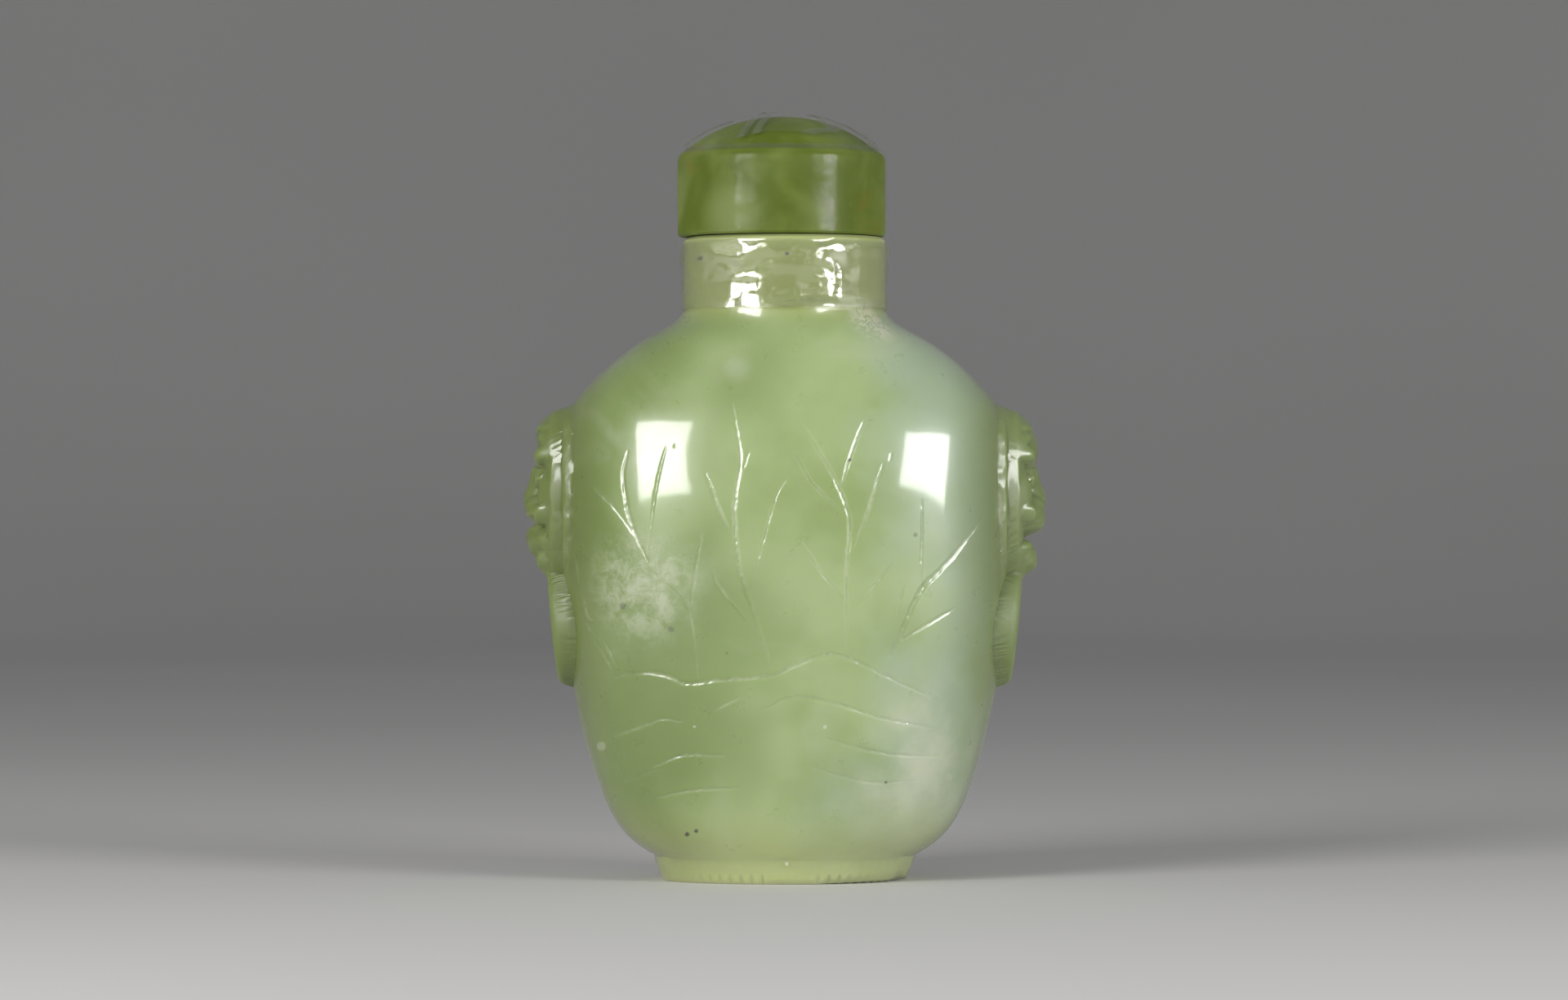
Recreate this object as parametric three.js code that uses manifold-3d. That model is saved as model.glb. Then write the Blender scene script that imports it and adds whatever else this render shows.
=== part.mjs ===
// A small flattened jade snuff bottle with its stopper, in millimetres.
// +Z is up, +X is to the right across the broad face, and the broad front looks along -Y.
// The origin is the middle of the foot, on the surface that the bottle stands on.
import * as THREE from "three";
import { mergeVertices } from "three/addons/utils/BufferGeometryUtils.js";
import Module from "manifold-3d";

const { clamp, smoothstep } = THREE.MathUtils;
const wasm = await Module();
wasm.setup();

// ---- Driving sizes -------------------------------------------------------

const LIP_Z = 58.7; // top of the bottle's neck
const NECK_RADIUS = 9.15;
const LIP_CHAMFER = 0.3;
const BORE_RADIUS = 4;
const MOUTH_FLARE = 0.5;
const ROUND = 2; // superellipse power of a round or oval plan; a larger one is fuller at its corners
const BODY_FULLNESS = 2.4;
const FOOT_FULLNESS_SHARE = 0.4; // how much of the body's extra fullness the foot keeps
const CAVITY_FULLNESS = 2.2;
const SIDE_SLOPE = 0.5; // tangent of the direction in plan where a narrow side gives way to a broad face

const STOPPER_RADIUS = 9.5;
const STOPPER_SHIFT_X = -0.3; // the stopper sits a little off the neck's axis
const STOPPER_UNDERSIDE_Z = LIP_Z + 0.2;
const STOPPER_SHOULDER_Z = 66.5;
const STOPPER_TOP_Z = 69.76;
const STOPPER_EDGE_ROUND = 0.8;
const STOPPER_UNDER_CHAMFER = 0.2;
const PLUG_RADIUS = 3.3;
const PLUG_LENGTH = 4.7;
const PLUG_CHAMFER = 0.5;

const TAPE_GAP = 0.12;
const TAPE_THICKNESS = 0.12;
const TAPE_LOWER_EDGE_Z = 52.1;
const TAPE_STEP_Z = LIP_Z - 0.15; // where the film widens from the neck to the stopper
const TAPE_STEP_HEIGHT = 0.35;

const MASK_MIDDLE_Z = 35.1;
const MASK_FULLNESS = 2.6; // superellipse power of the mask's outline
const RIM_HALF_WIDTH = 5.8; // a low band runs round the mask
const RIM_HALF_HEIGHT = 8.1;
const RIM_TOP = 20.2; // heights of the relief are distances from the axis
const RIM_RADIUS = 0.55;
const HEAD_HALF_WIDTH = 5;
const HEAD_HALF_HEIGHT = 7.9;
const HEAD_TOP = 22; // the head's ground swells to this in its middle
const HEAD_EDGE = 20.6;
const HEAD_SQUARENESS = 3;
const FEATURES_FULL = 1; // the features are whole this far in from the head's outline
const EDGE_SLOPE = 4; // how fast the head drops away past its outline
const MOUTH_HALF_WIDTH = 3.6;
const MOUTH_HALF_HEIGHT = 0.4;
const MOUTH_LIFT = 0.05; // how far its corners turn up, for each square millimetre of width
const CREASE = 0.35; // how far the creases between the features are filled over
const POLISH = [-0.25, 0, 0.25]; // offsets of the places that are averaged
const RING_MIDDLE_Z = 23.3;
const RING_OUTER_RADIUS = 5.6;
const RING_INNER_RADIUS = 3.3;
const RING_FACE = 21.2; // the ring's flat face, at its middle height
const RING_LEAN = 0.1; // how far that face leans out for each millimetre up
const RING_SQUARENESS = 3;
const RING_EDGE_DROP = 4; // how far its surface drops into the body, for one half-width past its edge
const ROOT_DEPTH = 1.2; // how far the relief's solids reach into the wall
const MASK_COLUMNS = 46;
const MASK_ROWS = [0, 0.09, 0.18, 0.27, 0.36, 0.45, 0.54, 0.62, 0.7, 0.77, 0.82, 0.86, 0.9, 0.95, 1.01];
const RING_COLUMNS = 30;
const RING_ROWS = [-1.1, -0.92, -0.6, 0, 0.6, 0.92, 1.1];

// ---- The bottle's outline ------------------------------------------------

// A point of an outline: half the width, half the depth, and the height.
const at = (width, depth, z) => new THREE.Vector3(width, depth, z);

// A stretch of outline is a cubic curve: its start, two handles, its end and the number of rings along it.
function stretch(start, handleA, handleB, end, rings) {
  return { curve: new THREE.CubicBezierCurve3(start, handleA, handleB, end), rings };
}

const FOOT_OUTER = at(11.2, 7.9, 0);
const FOOT_WAIST = at(12.0, 8.5, 2.3);
const HAUNCH = at(16.6, 10.9, 7.6);
const WIDEST = at(20.5, 13.6, 33);
const SHOULDER = at(19.45, 11.9, 43.1);
const UPPER_SHOULDER = at(13.0, 9.9, 49.3);
const NECK_ROOT = at(NECK_RADIUS, NECK_RADIUS, 52.1);
const LIP_EDGE = at(NECK_RADIUS, NECK_RADIUS, LIP_Z - LIP_CHAMFER);

const BODY = [
  stretch(FOOT_OUTER, at(11.4, 8.05, 0.8), at(11.9, 8.4, 1.6), FOOT_WAIST, 2),
  stretch(FOOT_WAIST, at(14.4, 10.1, 3.6), at(15.5, 10.3, 5.0), HAUNCH, 5),
  stretch(HAUNCH, at(18.3, 12.0, 11.7), at(20.5, 13.6, 20), WIDEST, 8),
  stretch(WIDEST, at(20.5, 13.6, 38), at(20.4, 12.5, 41.4), SHOULDER, 4),
  stretch(SHOULDER, at(18.4, 11.2, 45.0), at(15.7, 10.4, 47.6), UPPER_SHOULDER, 4),
  stretch(UPPER_SHOULDER, at(11.7, 9.6, 50.15), at(9.7, 9.25, 50.8), NECK_ROOT, 4),
  stretch(NECK_ROOT, at(NECK_RADIUS, NECK_RADIUS, 54), at(NECK_RADIUS, NECK_RADIUS, 57), LIP_EDGE, 1),
];

// Under the foot is a shallow hollow, given from its middle out to the oval ring that it stands on.
const FOOT_RECESS = [at(0, 0, 1.2), at(6.4, 3.8, 1.05), at(8.9, 5.7, 0.7), at(9.3, 6.1, 0)];

const CAVITY_BOTTOM = at(0, 0, 6.4);
const CAVITY_FLOOR = at(7, 3.6, 7);
const CAVITY_WIDEST = at(16.2, 9.3, 32);
const CAVITY_TOP = at(BORE_RADIUS, BORE_RADIUS, 50);
const CAVITY = [
  stretch(CAVITY_FLOOR, at(13.5, 7.4, 8.2), at(16.2, 9.3, 18), CAVITY_WIDEST, 6),
  stretch(CAVITY_WIDEST, at(16.2, 9.3, 41), at(11, 7.2, 47), CAVITY_TOP, 6),
];

// The plan's power falls from the body's fullness to a plain round at the neck and eases off at the foot.
function fullnessAt(z) {
  const aboveFoot = smoothstep(z, 0, HAUNCH.z);
  const kept = FOOT_FULLNESS_SHARE + (1 - FOOT_FULLNESS_SHARE) * aboveFoot;
  const belowNeck = 1 - smoothstep(z, SHOULDER.z, NECK_ROOT.z);
  return ROUND + (BODY_FULLNESS - ROUND) * Math.min(kept, belowNeck);
}

function ring(width, depth, z, power = ROUND, shiftX = 0) {
  return { width, depth, z, power, shiftX };
}

const ringAt = (p, powerAt) => ring(p.x, p.y, p.z, powerAt(p.z));

function ringsAlong(stretches, powerAt) {
  const rings = [];
  for (const { curve, rings: count } of stretches) {
    for (let i = rings.length ? 1 : 0; i <= count; i++) {
      rings.push(ringAt(curve.getPoint(i / count), powerAt));
    }
  }
  return rings;
}

// Half the width and half the depth of the body at a height, found on its outline by halving.
function bodyAt(z) {
  const halvings = 24;
  const { curve } = BODY.find((s) => z <= s.curve.v3.z) ?? BODY[BODY.length - 1];
  let low = 0;
  let high = 1;
  for (let i = 0; i < halvings; i++) {
    const middle = (low + high) / 2;
    if (curve.getPoint(middle).z < z) low = middle;
    else high = middle;
  }
  return curve.getPoint(low);
}

// How far the body's side stands from the axis, at a depth across it and a height.
function sideAt(depth, z) {
  const p = bodyAt(z);
  const power = fullnessAt(z);
  const share = Math.abs(depth) / p.y;
  return p.x * (1 - share ** power) ** (1 / power);
}

// ---- Lofted solids -------------------------------------------------------

// Directions round the plan: close together on the two narrow sides, wider apart on the broad faces.
function planDirections(sideSteps, faceSteps) {
  const corner = Math.atan(SIDE_SLOPE);
  const quarterTurn = Math.PI / 2;
  const directions = [];
  for (const half of [0, Math.PI]) {
    for (let i = 0; i < sideSteps; i++) {
      const across = SIDE_SLOPE * ((2 * i) / sideSteps - 1);
      directions.push(half + Math.atan(across));
    }
    for (let i = 0; i < faceSteps; i++) {
      directions.push(half + corner + (2 * (quarterTurn - corner) * i) / faceSteps);
    }
  }
  return directions;
}

// The point where a direction crosses a ring, which is a superellipse.
function onRing(r, direction) {
  const c = Math.cos(direction);
  const s = Math.sin(direction);
  const reach = (Math.abs(c) ** r.power + Math.abs(s) ** r.power) ** (-1 / r.power);
  return [r.shiftX + r.width * reach * c, r.depth * reach * s, r.z];
}

// Joins rings into one closed surface. A ring of no width is a single point.
function loft(rings, directions) {
  const points = [];
  const triangles = [];
  const starts = [];
  for (const r of rings) {
    starts.push(points.length);
    if (r.width === 0) points.push([r.shiftX, 0, r.z]);
    else directions.forEach((d) => points.push(onRing(r, d)));
  }
  const count = directions.length;
  for (let i = 0; i + 1 < rings.length; i++) {
    const [a, b] = [starts[i], starts[i + 1]];
    for (let j = 0; j < count; j++) {
      const k = (j + 1) % count;
      if (rings[i].width === 0) triangles.push([a, b + k, b + j]);
      else if (rings[i + 1].width === 0) triangles.push([a + j, a + k, b]);
      else triangles.push([a + j, a + k, b + k], [a + j, b + k, b + j]);
    }
  }
  return surface(points, triangles);
}

function surface(points, triangles) {
  return new THREE.BufferGeometry()
    .setAttribute("position", new THREE.Float32BufferAttribute(points.flat(), 3))
    .setIndex(triangles.flat());
}

function toSolid(geometry) {
  const bare = new THREE.BufferGeometry()
    .setAttribute("position", geometry.getAttribute("position"))
    .setIndex(geometry.getIndex());
  const merged = mergeVertices(bare, 1e-4);
  return new wasm.Manifold(
    new wasm.Mesh({
      numProp: 3,
      vertProperties: new Float32Array(merged.attributes.position.array),
      triVerts: new Uint32Array(merged.index.array),
    }),
  );
}

function toGeometry(solid) {
  const mesh = solid.getMesh();
  return new THREE.BufferGeometry()
    .setAttribute("position", new THREE.BufferAttribute(mesh.vertProperties, 3))
    .setIndex(new THREE.BufferAttribute(mesh.triVerts, 1));
}

// ---- The carved mask and ring --------------------------------------------

// The relief is given as heights over the narrow side: distances from the bottle's axis, at a place u
// across the side from the mask's middle line and v up from the foot. Both halves of the mask are alike,
// so u is never negative.

// The larger of two heights, with the crease between them filled over about that many millimetres.
function blend(a, b, rounding) {
  const overlap = Math.max(rounding - Math.abs(a - b), 0) / rounding;
  return Math.max(a, b) + (overlap * overlap * rounding) / 4;
}

// A half-round profile: 1 in the middle, falling ever faster, and straight on down from the turning point.
function halfRound(distance) {
  const turn = 0.94;
  const edge = Math.sqrt(1 - turn * turn);
  const off = Math.abs(distance);
  return off < turn ? Math.sqrt(1 - off * off) : edge - (turn / edge) * (off - turn);
}

// A dome has a middle, half its size across and up, and the heights of its foot and top.
const dome = (middle, radii, foot, top) => ({ middle, radii, foot, top });

function domeHeight({ middle, radii, foot, top }, u, v) {
  return foot + (top - foot) * halfRound(Math.hypot((u - middle[0]) / radii[0], (v - middle[1]) / radii[1]));
}

// A lock is a half-round strand that thins along a curve from a start, by a handle, to its tip.
function lock(start, handle, tip, radius, foot, top, taper) {
  const [a, b, c] = [start, handle, tip].map((p) => new THREE.Vector2(...p));
  return { path: new THREE.QuadraticBezierCurve(a, b, c).getPoints(6), radius, foot, top, taper };
}

function lockHeight({ path, radius, foot, top, taper }, u, v) {
  const place = new THREE.Vector2(u, v);
  const run = new THREE.Vector2();
  const steps = path.length - 1;
  let nearest = Infinity;
  for (let i = 0; i < steps; i++) {
    run.subVectors(path[i + 1], path[i]);
    const along = clamp(place.clone().sub(path[i]).dot(run) / run.lengthSq(), 0, 1);
    const distance = place.distanceTo(run.multiplyScalar(along).add(path[i]));
    nearest = Math.min(nearest, distance / (radius * (1 - (taper * (i + along)) / steps)));
  }
  return foot + (top - foot) * halfRound(nearest);
}

const DOMES = {
  brow: dome([0, 40.2], [4.6, 3.5], 21.2, 22.65),
  crest: dome([0, 41.3], [1.1, 1.5], 21.6, 22.5),
  eye: dome([2.35, 37.0], [1.15, 0.9], 21.6, 22.8),
  noseBridge: dome([0, 36.4], [1.5, 2.0], 22.0, 23.35),
  noseTip: dome([0, 34.7], [1.9, 2.2], 22.0, 23.9),
  nostril: dome([1.8, 34.2], [1.1, 1.0], 22.0, 23.6),
  cheek: dome([3.4, 35.0], [1.5, 2.6], 21.2, 22.5),
};

const LOCKS = {
  browRidge: lock([0.7, 38.3], [2.4, 37.9], [3.9, 39.0], 0.75, 22.0, 22.8, 0.25),
  browCurl: lock([3.9, 39.0], [4.3, 40.3], [3.0, 40.4], 0.6, 21.5, 22.5, 0.3),
  forelock: lock([0.9, 40.4], [1.9, 41.6], [2.9, 41.3], 0.5, 21.8, 22.6, 0.35),
  eyelid: lock([1.1, 36.2], [2.4, 35.5], [3.5, 36.7], 0.35, 21.9, 22.7, 0.2),
  whisker: lock([2.2, 33.2], [3.9, 32.4], [4.2, 33.9], 0.62, 21.7, 22.8, 0.35),
};

// The two masks were cut by eye: each has a mouth, a brow, a lip and a jaw of its own.
const RIGHT_JAW = {
  mouthZ: 31.25,
  mouthDepth: 0.8,
  domes: {
    browMass: dome([0, 39.3], [3.4, 2.3], 21.6, 23.2),
    lip: dome([1.3, 33.1], [2.2, 2.0], 21.9, 23.8),
    jaw: dome([0, 29.3], [2.9, 2.1], 21.7, 23.05),
    chin: dome([0, 28.6], [2.5, 1.5], 21.7, 22.8),
  },
  locks: {
    jawLock: lock([2.6, 30.6], [4.2, 30.4], [3.7, 28.8], 0.65, 21.4, 22.5, 0.35),
    beard: lock([1.5, 29.4], [2.9, 29.0], [2.2, 27.6], 0.6, 21.5, 22.6, 0.3),
  },
};
const LEFT_JAW = {
  mouthZ: 32.55,
  mouthDepth: 0.45,
  domes: {
    browMass: dome([0, 39.3], [3.4, 2.2], 21.4, 22.65),
    lip: dome([1.3, 33.5], [2.2, 1.4], 21.9, 23.65),
    jaw: dome([0, 31.3], [3.0, 2.2], 21.7, 23.7),
    chin: dome([0, 29.2], [2.5, 1.8], 21.6, 22.7),
  },
  locks: {
    jawLock: lock([2.8, 31.6], [4.3, 31.2], [3.8, 29.6], 0.65, 21.4, 22.5, 0.35),
    beard: lock([1.7, 30.0], [3.0, 29.6], [2.3, 28.1], 0.6, 21.5, 22.5, 0.3),
  },
};

// How far out from the mask's middle a place lies: 0 there, and 1 on an outline of these half sizes.
function maskSpread(u, v, halfWidth, halfHeight) {
  const across = u / halfWidth;
  const along = Math.abs(v - MASK_MIDDLE_Z) / halfHeight;
  return (across ** MASK_FULLNESS + along ** MASK_FULLNESS) ** (1 / MASK_FULLNESS);
}

// The features over the mask's ground, averaged over a small patch, as a polished carving is.
function featuresAbove(ground, u, v, jaw) {
  const domes = [...Object.values(DOMES), ...Object.values(jaw.domes)];
  const locks = [...Object.values(LOCKS), ...Object.values(jaw.locks)];
  let sum = 0;
  for (const du of POLISH) {
    for (const dv of POLISH) {
      let height = ground;
      const place = [Math.abs(u + du), v + dv];
      for (const d of domes) height = blend(height, domeHeight(d, ...place), CREASE);
      for (const l of locks) height = blend(height, lockHeight(l, ...place), CREASE);
      sum += height - ground;
    }
  }
  return sum / POLISH.length ** 2;
}

function maskHeight(u, v, jaw) {
  const fromEdge = (1 - maskSpread(u, v, RIM_HALF_WIDTH, RIM_HALF_HEIGHT)) * RIM_HALF_WIDTH;
  const rim = RIM_TOP + RIM_RADIUS * (halfRound((fromEdge - RIM_RADIUS) / RIM_RADIUS) - 1);
  const spread = maskSpread(u, v, HEAD_HALF_WIDTH, HEAD_HALF_HEIGHT);
  const inside = (1 - spread) * HEAD_HALF_WIDTH;
  const crown = Math.max(1 - spread ** HEAD_SQUARENESS, 0) ** (1 / HEAD_SQUARENESS);
  const ground = HEAD_EDGE + (HEAD_TOP - HEAD_EDGE) * crown;
  const features = featuresAbove(ground, u, v, jaw) * smoothstep(inside, 0, FEATURES_FULL);
  const offMouth = (v - jaw.mouthZ - MOUTH_LIFT * u * u) / MOUTH_HALF_HEIGHT;
  const mouth = jaw.mouthDepth * Math.exp(-(offMouth ** 2)) * smoothstep(MOUTH_HALF_WIDTH - u, 0, 1);
  const edge = EDGE_SLOPE * Math.max(-inside, 0);
  return blend(rim, ground + features - mouth - edge, CREASE);
}

// The ring's height at a share of its band's half-width off the band's middle line.
function ringHeight(off, u, v) {
  const body = sideAt(u, v);
  if (off >= 1) return body - RING_EDGE_DROP * (off - 1);
  const face = RING_FACE + RING_LEAN * (v - RING_MIDDLE_Z);
  return body + (face - body) * (1 - off ** RING_SQUARENESS) ** (1 / RING_SQUARENESS);
}

const span = (p, q) => Math.hypot(p[0] - q[0], p[1] - q[1], p[2] - q[2]);

// A closed solid over a grid of places on one narrow side, rooted in the bottle's wall. The grid goes
// round, and each of its rows lies inside or beside the next. side is 1 on the right and -1 on the left.
function reliefSolid(side, rows, closesOnItself) {
  const points = rows.flat().map(({ u, v, height }) => [side * height, side * u, v]);
  const count = rows[0].length;
  const triangles = [];
  const last = closesOnItself ? rows.length : rows.length - 1;
  for (let i = 0; i < last; i++) {
    for (let j = 0; j < count; j++) {
      const a = i * count + j;
      const b = i * count + ((j + 1) % count);
      const c = ((i + 1) % rows.length) * count + j;
      const d = ((i + 1) % rows.length) * count + ((j + 1) % count);
      if (span(points[a], points[d]) < span(points[b], points[c])) triangles.push([a, c, d], [a, d, b]);
      else triangles.push([a, c, b], [b, c, d]);
    }
  }
  return toSolid(surface(points, triangles));
}

function maskSolid(side, jaw) {
  const rows = MASK_ROWS.map((spread) => maskRow(spread, (u, v) => maskHeight(Math.abs(u), v, jaw)));
  const root = (u, v) => sideAt(u, v) - ROOT_DEPTH;
  rows.push(maskRow(MASK_ROWS[MASK_ROWS.length - 1], root), maskRow(0, root));
  return reliefSolid(side, rows, false);
}

// The places at one spread round the mask's middle, each with its height.
function maskRow(spread, heightAt) {
  const row = [];
  for (let j = 0; j < MASK_COLUMNS; j++) {
    const angle = (2 * Math.PI * j) / MASK_COLUMNS;
    const [c, s] = [Math.cos(angle), Math.sin(angle)];
    const reach = (Math.abs(c) ** MASK_FULLNESS + Math.abs(s) ** MASK_FULLNESS) ** (-1 / MASK_FULLNESS);
    const u = spread * RIM_HALF_WIDTH * reach * c;
    const v = MASK_MIDDLE_Z + spread * RIM_HALF_HEIGHT * reach * s;
    row.push({ u, v, height: heightAt(u, v) });
  }
  return row;
}

function ringSolid(side) {
  const middle = (RING_OUTER_RADIUS + RING_INNER_RADIUS) / 2;
  const half = (RING_OUTER_RADIUS - RING_INNER_RADIUS) / 2;
  const rowAt = (share, heightAt) =>
    Array.from({ length: RING_COLUMNS }, (_, j) => {
      const angle = (2 * Math.PI * j) / RING_COLUMNS;
      const u = (middle + share * half) * Math.cos(angle);
      const v = RING_MIDDLE_Z + (middle + share * half) * Math.sin(angle);
      return { u, v, height: heightAt(u, v) };
    });
  const rows = RING_ROWS.map((share) => rowAt(share, (u, v) => ringHeight(Math.abs(share), u, v)));
  const root = (u, v) => sideAt(u, v) - ROOT_DEPTH;
  rows.push(rowAt(RING_ROWS[RING_ROWS.length - 1], root), rowAt(RING_ROWS[0], root));
  return reliefSolid(side, rows, true);
}

// ---- The pieces ----------------------------------------------------------

const BODY_DIRECTIONS = planDirections(10, 10);
const CAVITY_DIRECTIONS = planDirections(6, 8);
const ROUND_STEPS = 32;
const ROUND_DIRECTIONS = Array.from({ length: ROUND_STEPS }, (_, i) => (2 * Math.PI * i) / ROUND_STEPS);

function makeBottle() {
  const underside = FOOT_RECESS.map((p) => ringAt(p, fullnessAt));
  const lip = [ring(LIP_EDGE.x - LIP_CHAMFER, LIP_EDGE.y - LIP_CHAMFER, LIP_Z), ring(0, 0, LIP_Z)];
  const outside = toSolid(loft([...underside, ...ringsAlong(BODY, fullnessAt), ...lip], BODY_DIRECTIONS));
  const carved = outside
    .add(maskSolid(1, RIGHT_JAW))
    .add(maskSolid(-1, LEFT_JAW))
    .add(ringSolid(1))
    .add(ringSolid(-1));
  return toGeometry(carved.subtract(makeCavity()));
}

// The hollow with its bore, which flares a little at the lip and runs on past it to cut it cleanly.
function makeCavity() {
  const pastLip = 1;
  const flared = BORE_RADIUS + MOUTH_FLARE + pastLip;
  const rings = [
    ringAt(CAVITY_BOTTOM, () => CAVITY_FULLNESS),
    ...ringsAlong(CAVITY, () => CAVITY_FULLNESS),
    ring(BORE_RADIUS, BORE_RADIUS, LIP_Z - MOUTH_FLARE),
    ring(flared, flared, LIP_Z + pastLip),
    ring(0, 0, LIP_Z + pastLip),
  ];
  return toSolid(loft(rings, CAVITY_DIRECTIONS));
}

function drumRing(radius, z) {
  return ring(radius, radius, z, ROUND, STOPPER_SHIFT_X);
}

// The rings of the stopper's drum, its rounded edge and its dome, at a clearance outside them.
function capRings(fromZ, clearance) {
  const middleZ = STOPPER_SHOULDER_Z - STOPPER_EDGE_ROUND;
  const reach = STOPPER_EDGE_ROUND + clearance;
  const rings = [drumRing(STOPPER_RADIUS + clearance, fromZ)];
  for (const degrees of [0, 35, 70]) {
    const angle = THREE.MathUtils.degToRad(degrees);
    const radius = STOPPER_RADIUS - STOPPER_EDGE_ROUND + reach * Math.cos(angle);
    rings.push(drumRing(radius, middleZ + reach * Math.sin(angle)));
  }
  const rim = rings[rings.length - 1];
  return rings.concat(domeRings(rim.width, rim.z, STOPPER_TOP_Z + clearance));
}

// Rings over a dome that is part of a sphere, from inside its rim to the point at its top.
function domeRings(rimRadius, rimZ, topZ) {
  const count = 4;
  const rise = topZ - rimZ;
  const sphere = (rimRadius * rimRadius + rise * rise) / (2 * rise);
  const rings = [];
  for (let i = 1; i <= count; i++) {
    const radius = rimRadius * (1 - i / count);
    rings.push(drumRing(radius, topZ - sphere + Math.sqrt(sphere * sphere - radius * radius)));
  }
  return rings;
}

function makeStopper() {
  const plugEnd = STOPPER_UNDERSIDE_Z - PLUG_LENGTH;
  const rings = [
    drumRing(0, plugEnd),
    drumRing(PLUG_RADIUS - PLUG_CHAMFER, plugEnd),
    drumRing(PLUG_RADIUS, plugEnd + PLUG_CHAMFER),
    drumRing(PLUG_RADIUS, STOPPER_UNDERSIDE_Z),
    drumRing(STOPPER_RADIUS - STOPPER_UNDER_CHAMFER, STOPPER_UNDERSIDE_Z),
    ...capRings(STOPPER_UNDERSIDE_Z + STOPPER_UNDER_CHAMFER, 0),
  ];
  return loft(rings, ROUND_DIRECTIONS);
}

// The film follows the neck and the stopper, a little clear of them.
function tapeRings(clearance) {
  const radius = NECK_RADIUS + clearance;
  const stepFoot = TAPE_STEP_Z - TAPE_STEP_HEIGHT / 2;
  const neck = [ring(radius, radius, TAPE_LOWER_EDGE_Z), ring(radius, radius, stepFoot)];
  return neck.concat(capRings(stepFoot + TAPE_STEP_HEIGHT, clearance));
}

function makeTape() {
  const inner = tapeRings(TAPE_GAP);
  const outer = tapeRings(TAPE_GAP + TAPE_THICKNESS);
  return loft([...inner.reverse(), ...outer], ROUND_DIRECTIONS);
}

// ---- The assembly --------------------------------------------------------

const paleJade = new THREE.MeshStandardMaterial({ color: 0x9db276, roughness: 0.22, metalness: 0 });
const darkJade = new THREE.MeshStandardMaterial({ color: 0x6a7a2c, roughness: 0.3, metalness: 0 });
const clearFilm = new THREE.MeshStandardMaterial({
  color: 0xf4f1dc,
  roughness: 0.1,
  metalness: 0,
  transparent: true,
  opacity: 0.25,
});

function piece(name, geometry, material) {
  const mesh = new THREE.Mesh(geometry, material);
  mesh.name = name;
  return mesh;
}

const snuffBottle = new THREE.Group();
snuffBottle.add(piece("bottle", makeBottle(), paleJade));
snuffBottle.add(piece("stopper", makeStopper(), darkJade));
snuffBottle.add(piece("clear_tape", makeTape(), clearFilm));

export default snuffBottle;
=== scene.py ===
"""A small carved jade snuff bottle, its jade stopper, and the clear film wound over both.

Lengths are millimetres, in the frame of the CAD model, until a mesh is made, which is in metres.
"""

import math

import bpy
import numpy as np
from mathutils import Euler, Matrix


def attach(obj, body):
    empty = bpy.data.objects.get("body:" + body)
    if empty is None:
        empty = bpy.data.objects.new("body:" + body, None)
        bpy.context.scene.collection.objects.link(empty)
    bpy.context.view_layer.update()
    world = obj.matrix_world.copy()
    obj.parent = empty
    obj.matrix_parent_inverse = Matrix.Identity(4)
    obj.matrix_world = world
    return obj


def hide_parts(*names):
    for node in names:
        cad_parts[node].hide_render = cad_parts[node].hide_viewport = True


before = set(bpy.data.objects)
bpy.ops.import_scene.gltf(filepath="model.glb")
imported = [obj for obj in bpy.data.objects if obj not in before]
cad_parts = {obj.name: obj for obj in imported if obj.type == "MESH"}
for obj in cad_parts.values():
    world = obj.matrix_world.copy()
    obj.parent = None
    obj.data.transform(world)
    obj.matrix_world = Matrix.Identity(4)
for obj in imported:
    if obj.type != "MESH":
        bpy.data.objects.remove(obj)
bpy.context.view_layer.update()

MM = 0.001

# ---- Driving sizes, the same as the CAD model's ----------------------------

CURVE_STEPS = 40  # how many steps each curve of an outline is cut into

LIP_Z = 58.7
NECK_RADIUS = 9.15
LIP_CHAMFER = 0.3
BORE_RADIUS = 4.0
MOUTH_FLARE = 0.5
ROUND = 2.0  # superellipse power of a round or oval plan
BODY_FULLNESS = 2.4
FOOT_FULLNESS_SHARE = 0.4
CAVITY_FULLNESS = 2.2

FOOT_OUTER = (11.2, 7.9, 0.0)
FOOT_WAIST = (12.0, 8.5, 2.3)
HAUNCH = (16.6, 10.9, 7.6)
WIDEST = (20.5, 13.6, 33.0)
SHOULDER = (19.45, 11.9, 43.1)
UPPER_SHOULDER = (13.0, 9.9, 49.3)
NECK_ROOT = (NECK_RADIUS, NECK_RADIUS, 52.1)
LIP_EDGE = (NECK_RADIUS, NECK_RADIUS, LIP_Z - LIP_CHAMFER)
# Each stretch of the outline is a cubic curve: start, two handles, end, as half width, half depth, height.
BODY = [
    (FOOT_OUTER, (11.4, 8.05, 0.8), (11.9, 8.4, 1.6), FOOT_WAIST),
    (FOOT_WAIST, (14.4, 10.1, 3.6), (15.5, 10.3, 5.0), HAUNCH),
    (HAUNCH, (18.3, 12.0, 11.7), (20.5, 13.6, 20.0), WIDEST),
    (WIDEST, (20.5, 13.6, 38.0), (20.4, 12.5, 41.4), SHOULDER),
    (SHOULDER, (18.4, 11.2, 45.0), (15.7, 10.4, 47.6), UPPER_SHOULDER),
    (UPPER_SHOULDER, (11.7, 9.6, 50.15), (9.7, 9.25, 50.8), NECK_ROOT),
    (NECK_ROOT, (NECK_RADIUS, NECK_RADIUS, 54.0), (NECK_RADIUS, NECK_RADIUS, 57.0), LIP_EDGE),
]
FOOT_RECESS = [(0.0, 0.0, 1.2), (6.4, 3.8, 1.05), (8.9, 5.7, 0.7), (9.3, 6.1, 0.0)]
CAVITY_BOTTOM = (0.0, 0.0, 6.4)
CAVITY_FLOOR = (7.0, 3.6, 7.0)
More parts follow.
